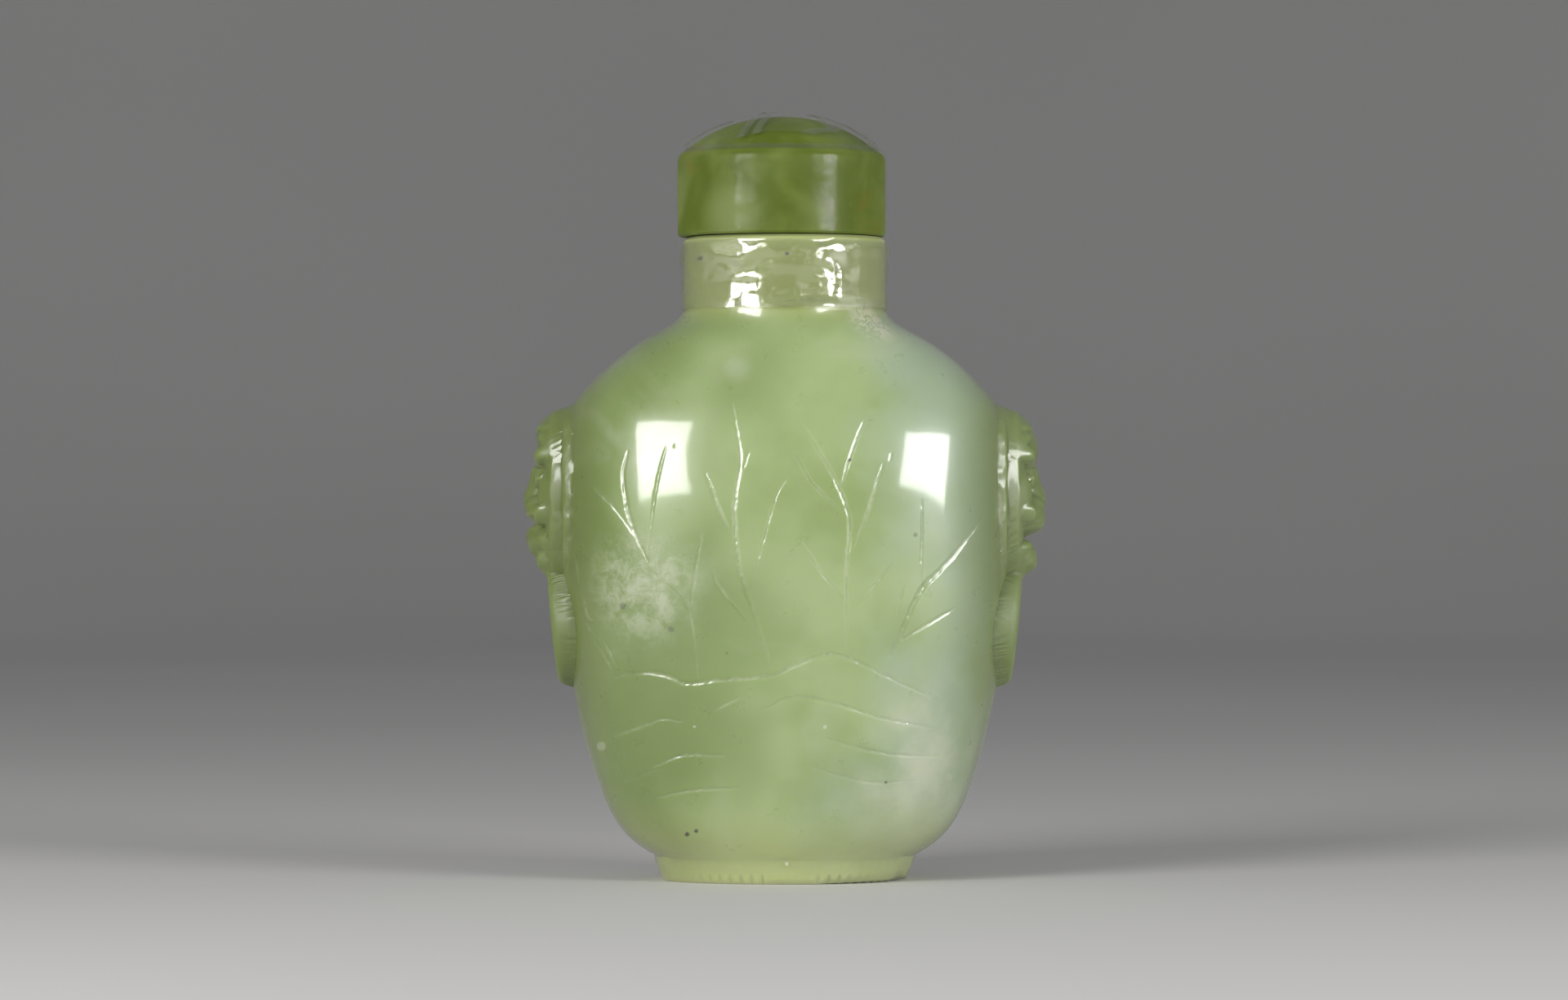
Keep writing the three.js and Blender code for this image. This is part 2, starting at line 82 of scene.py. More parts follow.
CAVITY_WIDEST = (16.2, 9.3, 32.0)
CAVITY_TOP = (BORE_RADIUS, BORE_RADIUS, 50.0)
CAVITY = [
    (CAVITY_FLOOR, (13.5, 7.4, 8.2), (16.2, 9.3, 18.0), CAVITY_WIDEST),
    (CAVITY_WIDEST, (16.2, 9.3, 41.0), (11.0, 7.2, 47.0), CAVITY_TOP),
]

STOPPER_RADIUS = 9.5
STOPPER_SHIFT_X = -0.3
STOPPER_UNDERSIDE_Z = LIP_Z + 0.08  # nearer the lip than the CAD model's, so the joint doesn't show dark
STOPPER_SHOULDER_Z = 66.5
STOPPER_TOP_Z = 69.76
STOPPER_EDGE_ROUND = 0.8
STOPPER_UNDER_CHAMFER = 0.2
PLUG_RADIUS = 3.3
PLUG_LENGTH = 4.7
PLUG_CHAMFER = 0.5

FILM_LOWER_EDGE_Z = 52.1

MASK_MIDDLE_Z = 35.1
MASK_FULLNESS = 2.6
RIM_HALF_WIDTH = 5.8
RIM_HALF_HEIGHT = 8.1
RIM_TOP = 20.2
RIM_RADIUS = 0.55
HEAD_HALF_WIDTH = 5.0
HEAD_HALF_HEIGHT = 7.9
HEAD_TOP = 22.0
HEAD_EDGE = 20.6
HEAD_SQUARENESS = 3.0
FEATURES_FULL = 1.0
EDGE_SLOPE = 4.0
MOUTH_HALF_WIDTH = 3.6
MOUTH_HALF_HEIGHT = 0.4
MOUTH_LIFT = 0.05
CREASE = 0.35
JOIN = 0.8  # how far the crease between the jaw and the ring is filled over
RING_MIDDLE_Z = 23.3
RING_OUTER_RADIUS = 5.6
RING_INNER_RADIUS = 3.3
RING_FACE = 21.2
RING_LEAN = 0.1
RING_SQUARENESS = 3.0
RING_EDGE_DROP = 4.0

# ---- Small helpers ---------------------------------------------------------


def smoothstep(value, start=0.0, end=1.0):
    share = np.clip((value - start) / (end - start), 0.0, 1.0)
    return share * share * (3.0 - 2.0 * share)


def bezier(start, handle_a, handle_b, end, steps):
    t = np.linspace(0.0, 1.0, steps + 1)[:, None]
    a, b, c, d = (np.array(p, float) for p in (start, handle_a, handle_b, end))
    return (1 - t) ** 3 * a + 3 * (1 - t) ** 2 * t * b + 3 * (1 - t) * t * t * c + t ** 3 * d


def smooth_line(points, steps=6):
    """A smooth line through the points, with a few steps from each to the next."""
    p = np.array(points, float)
    p = np.vstack([2 * p[0] - p[1], p, 2 * p[-1] - p[-2]])
    t = np.linspace(0.0, 1.0, steps, endpoint=False)[:, None]
    runs = []
    for a, b, c, d in zip(p, p[1:], p[2:], p[3:]):
        bend = 2 * a - 5 * b + 4 * c - d
        twist = 3 * b - a - 3 * c + d
        runs.append(b + 0.5 * t * ((c - a) + t * (bend + t * twist)))
    return np.vstack([*runs, p[-2]])


LATTICE = np.random.default_rng(7).uniform(-1.0, 1.0, (32, 32, 32))


def noise(points, cell, shift=0.0):
    """A smooth random value from -1 to 1 at each point, which changes over about one cell."""
    q = points / cell + 11.3 + shift
    low = np.floor(q).astype(int)
    t = q - low
    t = t * t * (3.0 - 2.0 * t)
    total = np.zeros(len(points))
    for corner in np.ndindex(2, 2, 2):
        index = (low + corner) % 32
        weight = np.where(corner, t, 1.0 - t).prod(axis=1)
        total += weight * LATTICE[index[:, 0], index[:, 1], index[:, 2]]
    return total


def mesh_object(name, points, faces, sharp_degrees=40.0):
    mesh = bpy.data.meshes.new(name)
    mesh.from_pydata((points * MM).tolist(), [], faces.tolist())
    mesh.polygons.foreach_set("use_smooth", [True] * len(mesh.polygons))
    mesh.set_sharp_from_angle(angle=math.radians(sharp_degrees))
    piece = bpy.data.objects.new(name, mesh)
    bpy.context.scene.collection.objects.link(piece)
    return piece


def paint(piece, name, values):
    """Keeps a value at each of the piece's points, for its material to read."""
    attribute = piece.data.attributes.new(name, "FLOAT", "POINT")
    attribute.data.foreach_set("value", np.asarray(values, np.float32))


def point_normals(points, faces):
    a, b, c = (points[faces[:, k]] for k in range(3))
    normals = np.zeros_like(points)
    for k in range(3):
        np.add.at(normals, faces[:, k], np.cross(b - a, c - a))
    return normals / np.maximum(np.linalg.norm(normals, axis=1, keepdims=True), 1e-12)


# ---- Closed turned and oval surfaces ----------------------------------------

# A surface is given by its outline: rows of half width, half depth, height, plan power and shift in x,
# from the point at its bottom middle to the point where it closes. A place on it is a station along the
# outline and a direction in plan, which is two numbers.


def fullness_at(z):
    kept = FOOT_FULLNESS_SHARE + (1 - FOOT_FULLNESS_SHARE) * smoothstep(z, 0.0, HAUNCH[2])
    below_neck = 1 - smoothstep(z, SHOULDER[2], NECK_ROOT[2])
    return ROUND + (BODY_FULLNESS - ROUND) * np.minimum(kept, below_neck)


def outline_rows(points, power, shift_x=0.0):
    p = np.array(points, float)
    powers = power(p[:, 2]) if callable(power) else np.full(len(p), power)
    return np.column_stack([p, powers, np.full(len(p), shift_x)])


def stations_along(outline):
    steps = np.linalg.norm(np.diff(outline[:, :3], axis=0), axis=1)
    return np.concatenate([[0.0], np.cumsum(steps)])


def place_on(outline, stations, where):
    w, d, z, power, shift = (np.interp(where[:, 0], stations, column) for column in outline.T)
    c, s = where[:, 1], where[:, 2]
    spread = np.abs(c) ** power + np.abs(s) ** power
    reach = np.where(spread > 0, np.maximum(spread, 1e-9) ** (-1 / power), 0.0)
    return np.column_stack([shift + w * reach * c, d * reach * s, z])


def first_grid(rows, columns):
    """Places on rings at the rows' stations, with one point at each end, and the triangles between them."""
    angles = 2 * math.pi * np.arange(columns) / columns
    around = np.column_stack([np.cos(angles), np.sin(angles)])
    rings = [np.column_stack([np.full(columns, s), around]) for s in rows[1:-1]]
    where = np.vstack([[[rows[0], 0, 0]], *rings, [[rows[-1], 0, 0]]])
    j = np.arange(columns)
    k = (j + 1) % columns
    faces = [np.column_stack([np.zeros_like(j), 1 + k, 1 + j])]
    for i in range(len(rings) - 1):
        a, b = 1 + i * columns, 1 + (i + 1) * columns
        faces.append(np.column_stack([a + j, a + k, b + k]))
        faces.append(np.column_stack([a + j, b + k, b + j]))
    last = len(where) - 1
    a = last - columns
    faces.append(np.column_stack([a + j, a + k, np.full(columns, last)]))
    return where, np.vstack(faces)


def halfway(a, b):
    middle = (a + b) / 2
    length = np.linalg.norm(middle[:, 1:], axis=1, keepdims=True)
    middle[:, 1:] /= np.maximum(length, 1e-9)
    return middle


def split_faces(faces, middles):
    """Cuts triangles at the new points on their sides ab, bc and ca, where -1 is a side left whole."""
    count = (middles >= 0).sum(axis=1)
    whole = faces[count == 0]
    f, m = faces[count == 3].T, middles[count == 3].T
    parts = [whole.T, [f[0], m[0], m[2]], [m[0], f[1], m[1]], [m[2], m[1], f[2]], m]
    for turn in range(3):
        turned = np.roll(faces, -turn, axis=1)
        sides = np.roll(middles, -turn, axis=1)
        one = (count == 1) & (sides[:, 0] >= 0)
        f, m = turned[one].T, sides[one].T
        parts += [[f[0], m[0], f[2]], [m[0], f[1], f[2]]]
        two = (count == 2) & (sides[:, 2] < 0)
        f, m = turned[two].T, sides[two].T
        parts += [[m[0], f[1], m[1]], [f[0], m[0], m[1]], [f[0], m[1], f[2]]]
    return np.hstack([np.asarray(p, int).reshape(3, -1) for p in parts]).T


def refine(where, faces, place, wanted, rounds=7):
    """Halves the sides that are longer than wanted at their middles. Neighbours stay joined."""
    for _ in range(rounds):
        sides = np.concatenate([faces[:, [0, 1]], faces[:, [1, 2]], faces[:, [2, 0]]])
        sides.sort(axis=1)
        keys, which = np.unique(sides[:, 0] * len(where) + sides[:, 1], return_inverse=True)
        a, b = keys // len(where), keys % len(where)
        points = place(where)
        middle = halfway(where[a], where[b])
        long = np.linalg.norm(points[a] - points[b], axis=1) > wanted(middle, (points[a] + points[b]) / 2)
        if not long.any():
            break
        new = np.full(len(keys), -1)
        new[long] = len(where) + np.arange(long.sum())
        where = np.vstack([where, middle[long]])
        faces = split_faces(faces, new[which.reshape(3, -1)].T)
    return where, faces


# ---- The carved mask and ring on the narrow sides ----------------------------

# Heights are distances from the axis, at u across the side and v up from the foot.


def half_round(distance):
    turn = 0.94
    edge = math.sqrt(1 - turn * turn)
    off = np.abs(distance)
    return np.where(off < turn, np.sqrt(np.clip(1 - off * off, 0, 1)), edge - turn / edge * (off - turn))


def blend(a, b, rounding=CREASE):
    overlap = np.maximum(rounding - np.abs(a - b), 0) / rounding
    return np.maximum(a, b) + overlap * overlap * rounding / 4


# Middle, half sizes across and up, height of the foot, height of the top.
DOMES = {
    "brow": ((0, 40.2), (4.6, 3.5), 21.2, 22.65),
    "crest": ((0, 41.3), (1.1, 1.5), 21.6, 22.5),
    "eye": ((2.35, 37.0), (1.15, 0.9), 21.6, 22.8),
    "nose_bridge": ((0, 36.4), (1.5, 2.0), 22.0, 23.35),
    "nose_tip": ((0, 34.7), (1.9, 2.2), 22.0, 23.9),
    "nostril": ((1.8, 34.2), (1.1, 1.0), 22.0, 23.6),
    "cheek": ((3.4, 35.0), (1.5, 2.6), 21.2, 22.5),
}
# Start, handle, tip, radius, height of the foot, height of the top, taper.
LOCKS = {
    "brow_ridge": ((0.7, 38.3), (2.4, 37.9), (3.9, 39.0), 0.75, 22.0, 22.8, 0.25),
    "brow_curl": ((3.9, 39.0), (4.3, 40.3), (3.0, 40.4), 0.6, 21.5, 22.5, 0.3),
    "forelock": ((0.9, 40.4), (1.9, 41.6), (2.9, 41.3), 0.5, 21.8, 22.6, 0.35),
    "eyelid": ((1.1, 36.2), (2.4, 35.5), (3.5, 36.7), 0.35, 21.9, 22.7, 0.2),
    "whisker": ((2.2, 33.2), (3.9, 32.4), (4.2, 33.9), 0.62, 21.7, 22.8, 0.35),
}
# What differs between the two sides, which were cut by eye: the mouth's height and depth, and the
# domes and locks of the brow, lip and jaw.
RIGHT_JAW = {
    "mouth": (31.25, 0.8),
    "domes": {
        "brow_mass": ((0, 39.3), (3.4, 2.3), 21.6, 23.2),
        "lip": ((1.3, 33.1), (2.2, 2.0), 21.9, 23.8),
        "jaw": ((0, 29.3), (2.9, 2.1), 21.7, 23.05),
        "chin": ((0, 28.6), (2.5, 1.5), 21.7, 22.8),
    },
    "locks": {
        "jaw_lock": ((2.6, 30.6), (4.2, 30.4), (3.7, 28.8), 0.65, 21.4, 22.5, 0.35),
        "beard": ((1.5, 29.4), (2.9, 29.0), (2.2, 27.6), 0.6, 21.5, 22.6, 0.3),
    },
}
LEFT_JAW = {
    "mouth": (32.55, 0.45),
    "domes": {
        "brow_mass": ((0, 39.3), (3.4, 2.2), 21.4, 22.65),
        "lip": ((1.3, 33.5), (2.2, 1.4), 21.9, 23.65),
        "jaw": ((0, 31.3), (3.0, 2.2), 21.7, 23.7),
        "chin": ((0, 29.2), (2.5, 1.8), 21.6, 22.7),
    },
    "locks": {
        "jaw_lock": ((2.8, 31.6), (4.3, 31.2), (3.8, 29.6), 0.65, 21.4, 22.5, 0.35),
        "beard": ((1.7, 30.0), (3.0, 29.6), (2.3, 28.1), 0.6, 21.5, 22.5, 0.3),
    },
}


def dome_height(dome, u, v):
    (across, up), (half_width, half_height), foot, top = dome
    return foot + (top - foot) * half_round(np.hypot((u - across) / half_width, (v - up) / half_height))


def to_line(u, v, line):
    """For each place, its distance to each step of the line and how far along the whole line that is."""
    a, run = line[:-1], np.diff(line, axis=0)
    du = u[:, None] - a[:, 0]
    dv = v[:, None] - a[:, 1]
    share = np.clip((du * run[:, 0] + dv * run[:, 1]) / (run ** 2).sum(axis=1), 0.0, 1.0)
    off = np.hypot(du - share * run[:, 0], dv - share * run[:, 1])
    return off, (np.arange(len(run)) + share) / len(run)


def lock_height(lock, u, v):
    start, handle, tip, radius, foot, top, taper = lock
    t = np.linspace(0.0, 1.0, 11)[:, None]
    line = (1 - t) ** 2 * start + 2 * t * (1 - t) * np.array(handle) + t * t * np.array(tip)
    off, along = to_line(u, v, line)
    return foot + (top - foot) * half_round((off / (radius * (1 - taper * along))).min(axis=1))


def mask_spread(u, v, half_width, half_height):
    """0 in the mask's middle and 1 on an outline of these half sizes."""
    across = u / half_width
    along = np.abs(v - MASK_MIDDLE_Z) / half_height
    return (across ** MASK_FULLNESS + along ** MASK_FULLNESS) ** (1 / MASK_FULLNESS)


def mask_height(u, v, jaw):
    from_edge = (1 - mask_spread(u, v, RIM_HALF_WIDTH, RIM_HALF_HEIGHT)) * RIM_HALF_WIDTH
    rim = RIM_TOP + RIM_RADIUS * (half_round((from_edge - RIM_RADIUS) / RIM_RADIUS) - 1)
    spread = mask_spread(u, v, HEAD_HALF_WIDTH, HEAD_HALF_HEIGHT)
    inside = (1 - spread) * HEAD_HALF_WIDTH
    crown = np.clip(1 - spread ** HEAD_SQUARENESS, 0, 1) ** (1 / HEAD_SQUARENESS)
    ground = HEAD_EDGE + (HEAD_TOP - HEAD_EDGE) * crown
    features = ground
    for dome in [*DOMES.values(), *jaw["domes"].values()]:
        features = blend(features, dome_height(dome, u, v))
    for lock in [*LOCKS.values(), *jaw["locks"].values()]:
        features = blend(features, lock_height(lock, u, v))
    head = ground + (features - ground) * smoothstep(inside, 0.0, FEATURES_FULL)
    mouth_z, mouth_depth = jaw["mouth"]
    off_mouth = (v - mouth_z - MOUTH_LIFT * u * u) / MOUTH_HALF_HEIGHT
    mouth = mouth_depth * np.exp(-off_mouth ** 2) * smoothstep(MOUTH_HALF_WIDTH - u)
    return blend(rim, head - mouth - EDGE_SLOPE * np.maximum(-inside, 0))


def ring_height(u, v, body):
    middle = (RING_OUTER_RADIUS + RING_INNER_RADIUS) / 2
    half = (RING_OUTER_RADIUS - RING_INNER_RADIUS) / 2
    off = np.abs(np.hypot(u, v - RING_MIDDLE_Z) - middle) / half
    face = RING_FACE + RING_LEAN * (v - RING_MIDDLE_Z)
    crown = np.clip(1 - off ** RING_SQUARENESS, 0, 1) ** (1 / RING_SQUARENESS)
    return np.where(off < 1, body + (face - body) * crown, body - RING_EDGE_DROP * (off - 1))


def relief_height(u, v, jaw, outline):
    w, d, _, power, _ = (np.interp(v, outline[:, 2], column) for column in outline.T)
    body = w * (1 - np.clip(u / d, 0, 1) ** power) ** (1 / power)
    return np.maximum(blend(mask_height(u, v, jaw), ring_height(u, v, body), JOIN), body)


# ---- The bottle's outline ------------------------------------------------------


def outside_outline():
    rows = [bezier(*curve, CURVE_STEPS)[:-1] for curve in BODY]
    lip = (LIP_EDGE[0] - LIP_CHAMFER, LIP_EDGE[1] - LIP_CHAMFER, LIP_Z)
    return outline_rows(np.vstack([*rows, LIP_EDGE, lip]), fullness_at)


def bottle_outline():
    """The whole outline, from under the foot, up the outside and down into the cavity."""
    flare = BORE_RADIUS + MOUTH_FLARE
    mouth = [(flare, flare, LIP_Z), (BORE_RADIUS, BORE_RADIUS, LIP_Z - MOUTH_FLARE)]
    inside = [bezier(*curve, CURVE_STEPS)[:-1] for curve in CAVITY]
    inside = np.vstack([*inside, CAVITY_TOP])[::-1]
    return np.vstack([
        outline_rows(FOOT_RECESS, fullness_at),
        outside_outline(),
        outline_rows(mouth, ROUND),
        outline_rows(inside, lambda z: np.where(z > CAVITY_TOP[2] - 1, ROUND, CAVITY_FULLNESS)),
        outline_rows([CAVITY_BOTTOM], CAVITY_FULLNESS),
    ])


def rows_for(outline, stations, corners, spacing):
    """Stations for the first grid: every corner, and evenly between corners at about the spacing."""
    marks = sorted({0.0, stations[-1], *(stations[i] for i in corners)})
    rows = [marks[0]]
    for a, b in zip(marks, marks[1:]):
        count = max(1, round((b - a) / spacing))
        rows += list(np.linspace(a, b, count + 1)[1:])
    return rows


# ---- Incised drawing ---------------------------------------------------------

# Each stroke: its points (x, z) on the broad face, half its width, and its depth.
FRONT_STROKES = [
    ([(-17.2, 35.8), (-15.3, 34.0), (-13.5, 31.6)], 0.15, 0.09),
    ([(-14.1, 39.1), (-14.5, 36.6), (-13.8, 32.8), (-12.3, 29.2)], 0.22, 0.14),
    ([(-10.6, 39.6), (-11.5, 36.0), (-12.3, 30.1)], 0.18, 0.12),
    ([(-9.8, 39.8), (-9.9, 39.3)], 0.13, 0.08),
    ([(-18.9, 29.2), (-18.4, 26.7), (-17.8, 24.2), (-17.2, 23.7)], 0.16, 0.1),
    ([(-18.0, 23.6), (-16.8, 21.7), (-15.5, 19.4)], 0.16, 0.1),
    ([(-16.3, 22.1), (-15.7, 20.9), (-15.1, 19.7)], 0.13, 0.08),
    ([(-7.4, 31.6), (-8.0, 28.5), (-8.4, 25.5)], 0.16, 0.09),
    ([(-11.0, 27.4), (-9.1, 25.7), (-8.3, 23.7), (-7.7, 18.6)], 0.14, 0.08),
    ([(-4.7, 43.2), (-4.0, 38.4), (-4.5, 34.4), (-4.2, 29.0), (-2.9, 25.0), (-1.0, 19.4)], 0.24, 0.13),
    ([(-7.1, 37.1), (-6.2, 34.7), (-5.0, 32.0)], 0.18, 0.1),
    ([(-6.6, 28.5), (-5.8, 26.9), (-3.4, 23.9)], 0.16, 0.08),
    ([(0.3, 36.8), (-0.8, 35.0), (-1.9, 31.2), (-3.2, 26.5)], 0.16, 0.08),
    ([(-3.2, 39.1), (-3.7, 37.4)], 0.15, 0.09),
    ([(1.2, 41.9), (3.5, 38.4), (5.1, 35.2), (5.8, 32.5), (5.5, 27.9), (5.5, 21.5)], 0.24, 0.12),
    ([(7.1, 41.8), (6.1, 39.2), (5.1, 36.0)], 0.22, 0.13),
    ([(0.8, 39.2), (2.4, 36.3), (5.1, 33.6)], 0.17, 0.09),
    ([(8.8, 38.0), (7.7, 34.4), (6.3, 30.5)], 0.19, 0.1),
    ([(1.5, 30.9), (3.2, 28.3), (5.3, 26.0)], 0.17, 0.1),
    ([(9.6, 29.3), (8.3, 27.4), (6.4, 25.3)], 0.18, 0.08),
    ([(9.6, 38.9), (9.4, 38.2)], 0.14, 0.09),
    ([(12.3, 34.8), (12.3, 31.2), (12.2, 27.3)], 0.17, 0.1),
    ([(18.0, 33.3), (14.5, 29.0), (12.2, 26.6), (10.2, 22.3), (9.3, 20.5)], 0.3, 0.13),
    ([(15.3, 25.0), (12.7, 23.5), (9.9, 21.8)], 0.2, 0.08),
    ([(10.6, 26.9), (10.1, 24.4)], 0.15, 0.08),
    ([(-15.3, 18.7), (-13.1, 19.2), (-10.7, 19.0), (-8.8, 18.3), (-6.1, 18.6), (-1.3, 19.0), (1.1, 20.0),
      (3.8, 20.9), (5.9, 20.5), (9.6, 18.7), (13.7, 16.7)], 0.24, 0.11),
    ([(-2.0, 15.9), (0.8, 17.1), (4.3, 16.6), (8.6, 15.2), (13.8, 14.1)], 0.2, 0.1),
    ([(3.5, 13.4), (7.0, 12.4), (10.4, 11.8), (14.0, 11.6)], 0.18, 0.09),
    ([(1.9, 11.0), (4.8, 10.0), (8.3, 9.3), (11.8, 9.5)], 0.16, 0.07),
    ([(-15.8, 13.3), (-14.0, 13.9), (-12.3, 14.6), (-10.7, 15.1), (-9.1, 14.8)], 0.17, 0.09),
    ([(-11.8, 10.7), (-9.1, 11.8), (-5.3, 11.8)], 0.18, 0.1),
    ([(-11.6, 7.9), (-8.5, 8.6), (-4.0, 8.9)], 0.18, 0.1),
    ([(-14.5, 9.2), (-11.5, 10.5)], 0.13, 0.06),
    ([(-6.4, 15.8), (-4.0, 17.1)], 0.14, 0.06),
]
BACK_STROKES = [
    ([(-9.5, 18.6), (-9.2, 27.5), (-10.6, 37.0)], 0.2, 0.11),
    ([(-9.3, 26.0), (-12.6, 30.5), (-14.2, 35.0)], 0.17, 0.1),
    ([(-9.4, 31.0), (-6.6, 34.5), (-5.6, 38.5)], 0.17, 0.1),
    ([(-2.0, 19.2), (-1.4, 26.0), (-2.6, 33.0), (-2.2, 39.5)], 0.2, 0.11),
    ([(-1.6, 25.5), (1.2, 29.5), (2.4, 34.0)], 0.17, 0.09),
    ([(-2.4, 32.0), (-4.6, 35.2), (-5.0, 38.0)], 0.16, 0.09),
    ([(7.2, 19.0), (8.2, 26.0), (7.4, 34.5)], 0.2, 0.11),
    ([(8.1, 25.0), (11.4, 29.0), (13.6, 33.4)], 0.18, 0.1),
    ([(7.8, 29.5), (5.6, 33.0), (5.2, 36.4)], 0.16, 0.09),
    ([(-15.0, 17.6), (-9.0, 19.0), (-2.0, 18.7), (5.0, 19.4), (13.6, 17.2)], 0.23, 0.11),
    ([(-11.5, 13.6), (-5.0, 14.6), (3.0, 14.0), (9.0, 14.6)], 0.18, 0.09),
    ([(-4.0, 10.4), (3.0, 10.9), (9.5, 9.9)], 0.16, 0.08),
]
# Specks in the stone: place (x, z) on the front, radius, and tone from -1, dark, to 1, pale.
SPECKS = [
    (-14.5, 25.2, 0.3, -0.5), (-10.2, 23.1, 0.28, -0.5), (-8.8, 4.6, 0.2, -1.0), (-8.0, 4.9, 0.17, -0.9),
    (11.7, 31.6, 0.22, -0.5), (5.8, 38.3, 0.17, -0.8), (9.1, 9.3, 0.14, -0.8), (3.6, 14.4, 0.16, 0.6),
    (-8.1, 14.4, 0.16, 0.6), (-16.6, 12.4, 0.42, 0.35), (0.2, 1.9, 0.14, 1.0), (14.8, 9.7, 0.4, 0.3),
    (-7.6, 56.6, 0.2, -1.0), (0.2, 56.9, 0.18, -0.9), (-9.6, 41.0, 0.12, 0.6), (-5.2, 21.0, 0.14, -0.5),
]


def groove(x, z, strokes):
    """How deep the strokes are cut at each place, and how freshly its surface is cut, from 0 to 1."""
    depth = np.zeros(len(x))
    cut = np.zeros(len(x))
    for points, half_width, deep in strokes:
        line = smooth_line(points)
        low, high = line.min(axis=0) - half_width, line.max(axis=0) + half_width
        near = np.flatnonzero((x > low[0]) & (x < high[0]) & (z > low[1]) & (z < high[1]))
        if not len(near):
            continue
        off, along = to_line(x[near], z[near], line)
        best = off.argmin(axis=1)
        off = off[np.arange(len(near)), best]
        along = along[np.arange(len(near)), best]
        swell = np.sin(math.pi * np.clip(along, 0, 1)) ** 0.6
        reach = half_width * (0.4 + 0.6 * swell)
        inside = np.clip(1 - (off / reach) ** 2, 0, 1)
        depth[near] = np.maximum(depth[near], deep * (0.25 + 0.75 * swell) * inside)
        cut[near] = np.maximum(cut[near], np.sqrt(inside) * (0.4 + 0.6 * swell))
    return depth, cut


def stroke_distance(x, z, strokes):
    nearest = np.full(len(x), 9.0)
    for points, half_width, _ in strokes:
        line = smooth_line(points, 3)
        low, high = line.min(axis=0) - 3, line.max(axis=0) + 3
        near = np.flatnonzero((x > low[0]) & (x < high[0]) & (z > low[1]) & (z < high[1]))
        if len(near):
            off = to_line(x[near], z[near], line)[0].min(axis=1) - half_width
            nearest[near] = np.minimum(nearest[near], off)
    for x0, z0, radius, _ in SPECKS:
        nearest = np.minimum(nearest, np.hypot(x - x0, z - z0) - radius)
    return np.maximum(nearest, 0.0)


# ---- The bottle's surface ------------------------------------------------------

# The longest side of a triangle in each kind of place.
RELIEF_EDGE = 0.26
STROKE_EDGE = 0.16
PLAIN_EDGE = 1.3
HIDDEN_EDGE = 3.5

ROW_SPACING = 1.6
COLUMNS = 72

HAND_BROAD = 0.07  # how far the hand-cut surface strays from its outline, in broad and in fine waves
HAND_FINE = 0.03
STROKE_WANDER = 0.045
STROKE_CUT = 0.65  # share of a stroke's stated depth that is left in the worn stone
RING_DULL_X = 19.6  # the rings beyond this are less polished
RING_DULLNESS = 0.8
PIT_DEPTH = 0.16
PIT_REACH = 0.3


def relief_distance(points):
    """How far a point of the body lies from the carved part of a narrow side."""
    x, y, z = np.abs(points).T
    across = np.maximum(y - (RIM_HALF_WIDTH + 0.3), 0)
    bottom = RING_MIDDLE_Z - RING_OUTER_RADIUS - 0.3
    top = MASK_MIDDLE_Z + RIM_HALF_HEIGHT + 0.3
    along = np.maximum(np.maximum(bottom - z, z - top), 0)
    return np.hypot(across, along) + np.where(x > 12, 0, 9)


def make_bottle():
    outline = bottle_outline()
    stations = stations_along(outline)
    outside = outside_outline()
    first = len(FOOT_RECESS)
    lip = first + len(outside) - 1
    corners = [1, 2, 3, first, first + CURVE_STEPS, lip - 1, lip, lip + 1, lip + 2, lip + 3]
    rows = rows_for(outline, stations, corners, ROW_SPACING)
    where, faces = first_grid(rows, COLUMNS)

    def place(w):
        return place_on(outline, stations, w)

    def wanted(w, points):
        front = points[:, 1] < 0
        size = np.full(len(w), PLAIN_EDGE)
        for side, strokes in ((front, FRONT_STROKES), (~front, BACK_STROKES)):
            off = stroke_distance(points[side, 0], points[side, 2], strokes)
            size[side] = np.minimum(size[side], STROKE_EDGE + 0.45 * off)
        size = np.minimum(size, RELIEF_EDGE + 0.5 * relief_distance(points))
        inner = (w[:, 0] > stations[lip + 1]) | (w[:, 0] < stations[first - 1])
        return np.where(inner, HIDDEN_EDGE, size)

    where, faces = refine(where, faces, place, wanted)
    points = place(where)
    outer = (where[:, 0] >= stations[first]) & (where[:, 0] <= stations[lip])
    points, painted = carve(points, point_normals(points, faces), outer, outside)
    piece = mesh_object("jade_bottle", points, faces)
    for name, values in painted.items():
        paint(piece, name, values)
    return piece


def carve(points, normals, outer, outside):
    """Gives the turned outline its hand-cut unevenness, relief, drawing, tool pits and worn foot.

    Also returns how freshly cut, how pale or dark, and how dull the surface is at each point.
    """
    points = points.copy()
    x, _, z = points.T
    hand = HAND_BROAD * noise(points, 9.0) + HAND_FINE * noise(points, 4.0, 3.1)
    hand *= smoothstep(z, 0.3, 3.0) * (1 - smoothstep(z, 50.0, 52.0)) * outer
    points += normals * hand[:, None]
    raise_relief(points, outer, outside)
    front = points[:, 1] < 0
    cut = incise(points, normals, outer, front)
    tone = speck_tone(points, front & outer)
    pit_grooves(points, outer, cut)
    shape_foot(points, outer)
    on_ring = (relief_distance(points) < 0.3) & (np.abs(x) > RING_DULL_X) & (z < MASK_MIDDLE_Z - 5.0)
    under_film = smoothstep(z, FILM_LOWER_EDGE_Z - 0.3, FILM_LOWER_EDGE_Z + 0.6)
    matt = outer * np.maximum(RING_DULLNESS * on_ring, under_film)
    return points, {"cut": cut, "tone": tone, "matt": matt}


def raise_relief(points, outer, outside):
    for side, jaw in ((1, RIGHT_JAW), (-1, LEFT_JAW)):
        narrow = outer & (side * points[:, 0] > 0) & (relief_distance(points) < 0.5)
        height = relief_height(np.abs(points[narrow, 1]), points[narrow, 2], jaw, outside)
        points[narrow, 0] = side * np.maximum(side * points[narrow, 0], height)


